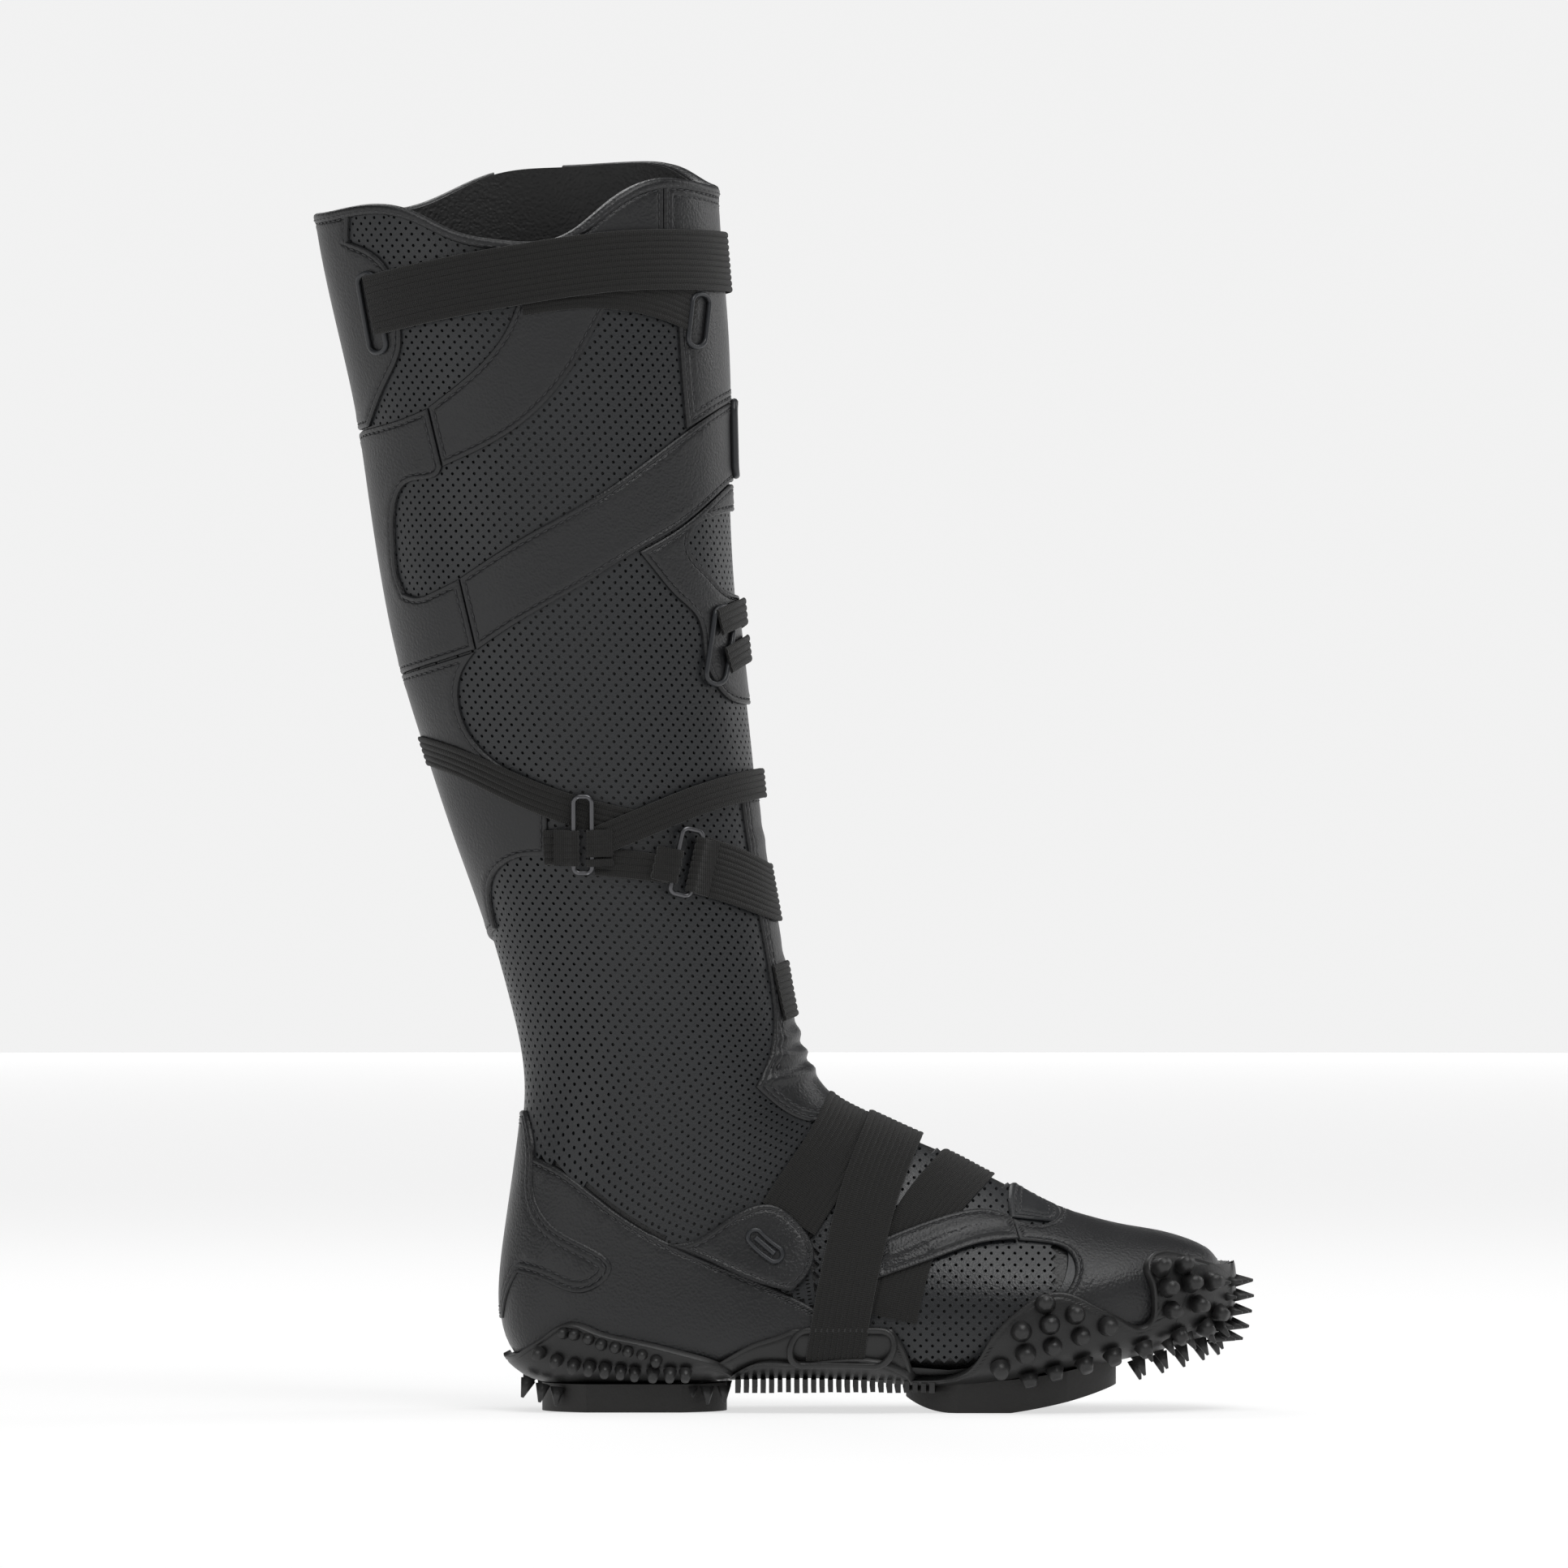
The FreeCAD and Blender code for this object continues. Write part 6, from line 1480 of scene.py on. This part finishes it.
class BOOT_OT_binding(bpy.types.Operator):
    """Build the folded binding along the top edge"""
    bl_idname = "boot.binding"
    bl_label = "Collar binding"

    def execute(self, context):
        edge = collar_edge(0.0)
        front = locate([zip_line(FRONT_SIGN * ZIP_HALF, 2, 3, 2)[0]], MED)[0, 0]
        rear = locate([zip_line(-FRONT_SIGN * ZIP_HALF, 2, 3, 2)[0]], MED)[0, 0] - 1.0
        u = np.linspace(rear, front, 460)
        v = edge(u)
        pv = np.linalg.norm(slopes(u % 1.0, v, 2.4)[1], axis=-1)
        shape = [(3.4, 4.55), (2.9, 5.05), (1.2, 5.2), (0.3, 4.9), (-0.25, 4.0), (-0.5, 2.4), (-0.25, 0.9),
                 (0.3, 0.0), (1.2, -0.3), (2.9, -0.25), (3.4, 0.2), (3.3, 2.4)]
        rings = np.array([on_form(u, v + drop / pv, np.full(len(u), out)) for drop, out in shape])
        n, count = len(shape), len(u)
        verts = rings.transpose(1, 0, 2).reshape(-1, 3)
        faces = []
        for k in range(count - 1):
            for j in range(n):
                m = (j + 1) % n
                faces.append([k * n + j, k * n + m, (k + 1) * n + m, (k + 1) * n + j])
        faces.append([j for j in range(n)][::-1])
        faces.append([(count - 1) * n + j for j in range(n)])
        f = faces[n * 40 + 2]
        turn = np.cross(verts[f[1]] - verts[f[0]], verts[f[2]] - verts[f[0]])
        if turn @ (verts[f[0]] - verts[40 * n:41 * n].mean(0)) < 0:
            faces = [face[::-1] for face in faces]
        make("collar_binding_leather", verts, faces, MATERIALS["smooth_leather"], ("collar_binding",),
             sharp=70)
        sizes = context.scene.boot_sizes
        stitches("collar_binding_thread", [np.stack([u % 1.0, v + 2.3 / pv], 1)], sizes, 5.1)
        return {"FINISHED"}


class BOOT_OT_straps(bpy.types.Operator):
    """Weave the ribbed elastic straps and fold them round the rings"""
    bl_idname = "boot.straps"
    bl_label = "Elastic straps"

    def execute(self, context):
        rear, front = ring_seat((-18, 205.5), 0), ring_seat((18.8, 195.8), 14.5)
        rear_bar, front_bar = (8.2 - 1.8) / 2, (9.5 - 1.8) / 2
        loops = {
            "ring_tab": [(rear, -rear_bar, -11, 1.6, -1, 5)],
            "strap_cross_lower": [(rear, rear_bar, -7.8, 1.8, 1, 4)],
            "strap_link": [(rear, rear_bar, -11.2, -8.6, 1, 1), (front, -front_bar, -8.5, 3.5, -1, 4)],
            "strap_ankle": [(front, front_bar, -9.9, 9.9, 1, 9)],
        }
        for name, nodes, line, width, layer, ribs in straps():
            verts, faces, uv = thicken_ribbon(line, width, layer, ribs)
            for loop in loops.get(name, []):
                more_verts, more_faces = loop_mesh(*loop)
                faces = faces + [[i + len(verts) for i in face] for face in more_faces]
                more_uv = np.stack([more_verts[:, 2] * 1.0, more_verts[:, 0] * 1.0], 1)
                uv = np.concatenate([uv, more_uv])
                verts = np.concatenate([verts, more_verts])
            make(name + "_webbing", verts, faces, MATERIALS["elastic"], nodes, uv=uv, sharp=60)
        return {"FINISHED"}


class BOOT_OT_trims(bpy.types.Operator):
    """Build the moulded slot rims and the ankle badge's rim"""
    bl_idname = "boot.trims"
    bl_label = "Slot rims"

    def execute(self, context):
        slots = [
            ("grommet_calf_rear", (-92.5, 391), 28.5, 6.0, 10, 0.95, 5.5),
            ("grommet_calf_front", (22.5, 388.5), 19, 6.0, -6, 0.9, 5.5),
            ("grommet_shin", (30.2, 273), 28, 7.0, -8, 0.95, 5.5),
            ("ankle_pill", (46.5, 59.5), 14.5, 5.2, 50, 0.85, 6.5),
        ]
        for name, centre, length, width, lean, radius, level in slots:
            line = locate(slot_loop(centre, length, width, lean), LAT)
            closed = respaced(np.concatenate([line, line[:1]]), 0.7)[:-1]
            pieces = [tube(closed, radius, level)]
            if name == "ankle_pill":
                angle = math.radians(lean)
                reach = 4.4
                ends = [(centre[0] + math.sin(angle) * k, centre[1] - math.cos(angle) * k)
                        for k in (-reach, reach)]
                ridge = respaced(locate(smoothed(ends, 0.6), LAT), 0.6)
                pieces.append(tube(ridge, 1.15, level - 0.2, closed=False))
            verts, faces = merged(pieces)
            make(name + "_rim", verts, faces, MATERIALS["hard_trim"], (name,), sharp=70)
        centre, length, width, radius, level = 347.0, 26.0, 8.0, 1.5, 5.8
        v = np.linspace(0, 0.5, 400)
        front = on_form(np.full(400, FRONT_U), v, level)
        ring = np.array(slot_loop((0, centre), length, width, 0))
        rows = np.interp(-ring[:, 1], -front[:, 2], v)
        step = 0.01
        girth = np.linalg.norm(on_form(np.full(len(rows), FRONT_U + step), rows, level)
                               - on_form(np.full(len(rows), FRONT_U), rows, level), axis=1) / step
        line = np.stack([FRONT_U + ring[:, 0] / girth, rows], 1)
        closed = respaced(np.concatenate([line, line[:1]]), 0.7)[:-1]
        verts, faces = tube(closed, radius, level)
        make("front_slot_rim", verts, faces, MATERIALS["hard_trim"], (), sharp=70)
        return {"FINISHED"}


class BOOT_OT_sole(bpy.types.Operator):
    """Build the rubber sole wall, its studs and spikes, the arch plate and the ribs under the arch"""
    bl_idname = "boot.sole"
    bl_label = "Sole"

    def execute(self, context):
        seed = context.scene.boot_stage.seed
        rubber = MATERIALS["sole_rubber"]
        arch = [(38, 14.5), (70, 13), (104, 13.5)]
        loop = outline((LAT, HEEL_WRAP), (LAT, arch), (LAT, FORE_WRAP), (MED, FORE_WRAP[::-1]),
                       (MED, arch[::-1]), (MED, HEEL_WRAP[::-1]), wrap=True, step=1.5)
        wall = patch(loop, RUBBER, 1.6, grid=3.4, puff=0.15)
        nose = sleeve(lambda u: np.full(len(u), 0.965), lambda u: np.full(len(u), 1.0), (RUBBER[0], 8.05),
                      220, 16, keep=lambda middle: middle[:, 2] < 52.5, nose=2.6)
        verts, faces = merged([wall, nose])
        make("sole_wall", verts, faces, rubber, ("outsole",), sharp=60)

        def on_walls(points, turn=0.0):
            places, ways = [], []
            for side in (LAT, MED):
                line = locate(points, side, RUBBER[1])
                p = on_form(line[:, 0], line[:, 1], RUBBER[1])
                n = normals(line[:, 0], line[:, 1]) + (0, 0, -turn)
                ways.append(n / np.linalg.norm(n, axis=1, keepdims=True))
                places.append(p)
            return np.concatenate(places), np.concatenate(ways)

        def set_on(name, shape, points, size, turn=0.0, nodes=(), sharp=180):
            places, ways = on_walls(points, turn)
            sunk = places + ways * (size[2] * 0.5 - 0.9)
            along = np.cross(ways, (0.0, 0.0, 1.0)) + (1e-4, 0, 0)
            repeated(name, shape, sunk, along, ways, size, rubber, nodes, sharp=sharp, seed=seed)
        set_on("heel_beads", "stud", STUD_ROW, (4.2, 4.2, 3.0), 0.0, ("heel_studs",))
        set_on("heel_cones", "stud", CONE_ROW, (4.8, 4.8, 4.2), 0.15)
        set_on("heel_spikes", "spike", SPIKE_ROW, (5.2, 5.2, 6.4), 0.55)
        set_on("fore_cones", "stud", FORE_CONES, (7.2, 7.2, 4.4), 0.0, ("toe_studs",))
        set_on("toe_cones", "stud", TOE_CONES, (7.0, 7.0, 5.0), 0.0)
        places, ways = [], []
        for x in (178, 186, 193.5, 200.5, 206):
            v = v_at_x(x)
            for u in (-0.15, -0.09, -0.03, 0.03, 0.09, 0.15):
                places.append(on_form(np.array([u]), np.array([v]), RUBBER[1])[0])
                n = normals(np.array([u]), np.array([v]))[0] + (0.25, 0, -0.6)
                ways.append(n / np.linalg.norm(n))
        rim = np.array([(209.5, 27), (212, 31), (213, 36), (213.4, 41), (213, 46)])
        for x, z in rim:
            for y in (-13.5, -8, -2.5, 3, 8.5, 14, 19.5, 25):
                side_y = y + (2.7 if int(z) % 2 else 0)
                places.append(np.array([x * SCALE_X - TOE_CURVE * (side_y - TOE_MIDDLE) ** 2, side_y, z]))
                way = np.array([1.0, (side_y - TOE_MIDDLE) * 0.035, (z - 37) * 0.012 - 0.1])
                ways.append(way / np.linalg.norm(way))
        places, ways = np.array(places), np.array(ways)
        along = np.cross(ways, (0.0, 1.0, 0.0))
        repeated("toe_spikes", "spike", places + ways * 2.0, along, ways, (4.6, 4.6, 6.2), rubber, (),
                 sharp=180, seed=seed)
        count = 24
        xs = np.linspace(37, 106, count)
        mids = np.stack([xs * SCALE_X, np.zeros(count), np.full(count, 9.6)], 1)
        repeated("arch_teeth", "block", mids, np.tile((1.0, 0, 0), (count, 1)), np.tile((0, 0, 1.0), (count, 1)),
                 (1.8, 66.0, 4.6), rubber, ("arch_ribs",), seed=seed)
        for side, label in ((LAT, "lateral"), (MED, "medial")):
            plate = outline(
                (side, [(29.5, 17.5), (36, 21.5), (42, 24.8), (52, 28.2), (57, 30.4)]),
                (side, [(57, 30.4), (92, 30.4)]), (side, [(92, 30.4), (96, 24), (100, 13.2)]),
                (side, [(100, 13.2), (66, 12.4), (36, 13.5), (29.5, 17.5)]))
            low = outline(
                (side, [(36, 14), (46, 19.2), (56, 19.4), (93, 18.6), (99, 15.5)]),
                (side, [(99, 15.5), (102, 12.4)]), (side, [(102, 12.4), (66, 11.6), (36, 12.6)]),
                (side, [(36, 12.6), (36, 14)]))
            rim_line = locate(slot_loop((75.3, 24.4), 36.5, 11.0, 90), side)
            closed = respaced(np.concatenate([rim_line, rim_line[:1]]), 0.9)[:-1]
            z = on_form(closed[:, 0], closed[:, 1], 6.0)[:, 2]
            level = 5.9 + 2.5 * np.clip((27.5 - z) / 7.0, 0, 1)
            pieces = [patch(plate, ARCH, 1.6, grid=3.0, puff=0.1), patch(low, APRON, 1.4, grid=3.0, puff=0.1),
                      tube(closed, 1.25, level)]
            verts, faces = merged(pieces)
            make("arch_plate_" + label, verts, faces, rubber, ("saddle",) if side == LAT else (),
                 sharp=60)
        return {"FINISHED"}


class BOOT_OT_zip(bpy.types.Operator):
    """Build the zip's tape, teeth, facings and inner flap on the inner side of the leg"""
    bl_idname = "boot.zip"
    bl_label = "Zip"

    def execute(self, context):
        sizes = context.scene.boot_sizes
        pieces = []
        for sign in (-1, 1):
            s = np.linspace(sign * 0.6, sign * 12.0, 16)
            pieces.append(grid_block(np.arange(-2, ZIP_LENGTH + 3, 1.2), s, -0.3, 0.55,
                                     lambda d, q: 0.08 * np.sin(d * 4.0) * np.cos(q * 3)))
        verts, faces = merged(pieces)
        d, s, _ = zip_coordinates(verts)
        make("zip_tape_cloth", verts, faces, MATERIALS["zip_tape"], ("zip_tape",),
             uv=np.stack([s, d], 1))
        pitch = sizes.tooth_pitch * 1000
        count = int((ZIP_LENGTH - 6) / pitch)
        rows = [(zip_place(np.arange(count) * pitch + 1 + (0 if sign > 0 else pitch / 2),
                           np.full(count, sign * 1.75), np.full(count, 1.0))) for sign in (-1, 1)]
        places = np.concatenate(rows)
        repeated("zip_teeth", "block", places, np.tile(ZIP_ACROSS, (len(places), 1)),
                 np.tile(ZIP_OUT, (len(places), 1)), (2.3, 1.35, 1.4), MATERIALS["zip_metal"],
                 ("zip_chain",), seed=context.scene.boot_stage.seed)
        for label, sign, node_name in (("front", FRONT_SIGN, "zip_guard_front"),
                                       ("rear", -FRONT_SIGN, "zip_guard_rear")):
            line = locate(zip_line(0, 3, ZIP_LENGTH + 2), MED)
            span = sorted((sign * (ZIP_HALF + 0.3), sign * (ZIP_HALF + 11)))
            verts, faces, _ = thicken_ribbon(line, 10.7, OVER, 1, per_rib=18, s0=tuple(span))
            make("zip_guard_%s_leather" % label, verts, faces, MATERIALS["smooth_leather"], (node_name,))
            for at in (2.0, 8.6):
                seam = locate(zip_line(sign * (ZIP_HALF + at), 6, ZIP_LENGTH), MED)
                stitches("zip_guard_%s_thread_%d" % (label, int(at)), [seam], sizes, 4.72)
        verts, faces = grid_block(np.arange(2, ZIP_LENGTH, 2.0), np.linspace(-12, 12, 25), -3.35, 0.8,
                                  lambda d, q: 0.15 * np.sin(d * 0.5) * np.cos(q * 0.5))
        top = collar_run(MED, -100, 26, 0.4)
        flap = outline((MED, top), (MED, [top[-1], (24, 380)]), (MED, [(24, 380), (-90, 380)]),
                       (MED, [(-90, 380), top[0]]))
        verts, faces = merged([(verts, faces), patch(flap, (-1.7, -0.7), 2.0, grid=3.0)])
        make("zip_underlap_leather", verts, faces, MATERIALS["lining"], ("zip_underlap",))
        return {"FINISHED"}


class BOOT_OT_stage(bpy.types.Operator):
    """Set the floor, backdrop, lights and camera"""
    bl_idname = "boot.stage"
    bl_label = "Stage"

    def execute(self, context):
        scene = context.scene
        look = scene.boot_stage
        turns = np.linspace(0, 2 * math.pi, 97)[:-1]
        ring = [(8.0 * math.cos(a), 8.0 * math.sin(a)) for a in turns]
        count = len(ring)
        parts = {
            "floor": ([(x, y, 0.0) for x, y in ring], [tuple(range(count))], 0.40, look.floor_glow),
            "backdrop": ([(x, y, z) for z in (0.0, 1.8) for x, y in ring],
                         [((k + 1) % count, k, count + k, count + (k + 1) % count) for k in range(count)],
                         0.02, look.backdrop_glow),
        }
        for name, (verts, faces, tone, glow) in parts.items():
            mesh = bpy.data.meshes.new(name)
            mesh.from_pydata(verts, [], faces)
            material, _, shader = tree_of(name)
            shader.inputs["Base Color"].default_value = (tone, tone, tone, 1)
            shader.inputs["Emission Color"].default_value = (1.0, 1.0, 1.0, 1)
            shader.inputs["Emission Strength"].default_value = glow
            shader.inputs["Roughness"].default_value = 0.9
            shader.inputs["Specular IOR Level"].default_value = 0.05
            mesh.materials.append(material)
            mesh.update()
            item = bpy.data.objects.new(name, mesh)
            scene.collection.objects.link(item)
        world = bpy.data.worlds.new("studio")
        world.use_nodes = True
        world.node_tree.nodes["Background"].inputs[0].default_value = (0.93, 0.94, 0.96, 1)
        world.node_tree.nodes["Background"].inputs[1].default_value = 0.12
        scene.world = world
        scene.view_settings.view_transform = "Standard"
        sun = bpy.data.lights.new("sky", "SUN")
        sun.energy = 1.15
        sun.angle = math.radians(50)
        above = bpy.data.objects.new("sky", sun)
        above.rotation_euler = (math.radians(12), math.radians(8), 0)
        scene.collection.objects.link(above)
        lights = [("key", (0.6, -1.3, 1.9), (0.9, 0.6), 12), ("fill", (-1.6, -1.6, 0.9), (0.7, 1.6), 4),
                  ("rear", (-0.6, 1.5, 1.7), (0.9, 0.9), 9), ("rim", (1.7, 0.9, 1.2), (0.5, 1.4), 7)]
        for name, place, size, power in lights:
            light = bpy.data.lights.new(name, "AREA")
            light.shape = "RECTANGLE"
            light.size, light.size_y = size
            light.energy = power
            lamp = bpy.data.objects.new(name, light)
            lamp.location = place
            aim = Vector((0.05, 0.0, 0.18)) - Vector(place)
            lamp.rotation_euler = aim.to_track_quat("-Z", "Y").to_euler()
            scene.collection.objects.link(lamp)
        data = bpy.data.cameras.new("camera")
        camera = bpy.data.objects.new("camera", data)
        data.sensor_width = 36.0
        data.lens = 36.0 * look.distance / look.across
        data.clip_end = 30.0
        camera.location = (look.aim_x, -look.distance, look.aim_z)
        camera.rotation_euler = (math.pi / 2, 0, 0)
        scene.collection.objects.link(camera)
        scene.camera = camera
        return {"FINISHED"}


class BOOT_PT_panel(bpy.types.Panel):
    """Sidebar panel with the boot's sizes and steps"""
    bl_idname = "BOOT_PT_panel"
    bl_label = "Riding Boot"
    bl_space_type = "VIEW_3D"
    bl_region_type = "UI"
    bl_category = "Boot"

    def draw(self, context):
        column = self.layout.column()
        for label in ("pitch", "row", "hole", "stitch_length", "stitch_gap", "thread", "stitch_depth",
                      "tooth_pitch"):
            column.prop(context.scene.boot_sizes, label)
        for step in STEPS:
            column.operator(step.bl_idname)


STEPS = (BOOT_OT_materials, BOOT_OT_lining, BOOT_OT_skins, BOOT_OT_overlays, BOOT_OT_binding, BOOT_OT_straps,
         BOOT_OT_trims, BOOT_OT_sole, BOOT_OT_zip, BOOT_OT_stage)
CLASSES = (BootSizes, StageSettings) + STEPS + (BOOT_PT_panel,)


def register():
    for kind in CLASSES:
        bpy.utils.register_class(kind)
    bpy.types.Scene.boot_sizes = PointerProperty(type=BootSizes)
    bpy.types.Scene.boot_stage = PointerProperty(type=StageSettings)


def unregister():
    del bpy.types.Scene.boot_stage
    del bpy.types.Scene.boot_sizes
    for kind in reversed(CLASSES):
        bpy.utils.unregister_class(kind)


def main():
    register()
    bpy.ops.boot.materials()
    bpy.ops.boot.lining()
    bpy.ops.boot.skins()
    bpy.ops.boot.overlays()
    bpy.ops.boot.binding()
    bpy.ops.boot.straps()
    bpy.ops.boot.trims()
    bpy.ops.boot.sole()
    bpy.ops.boot.zip()
    bpy.ops.boot.stage()


if __name__ == "__main__":
    main()
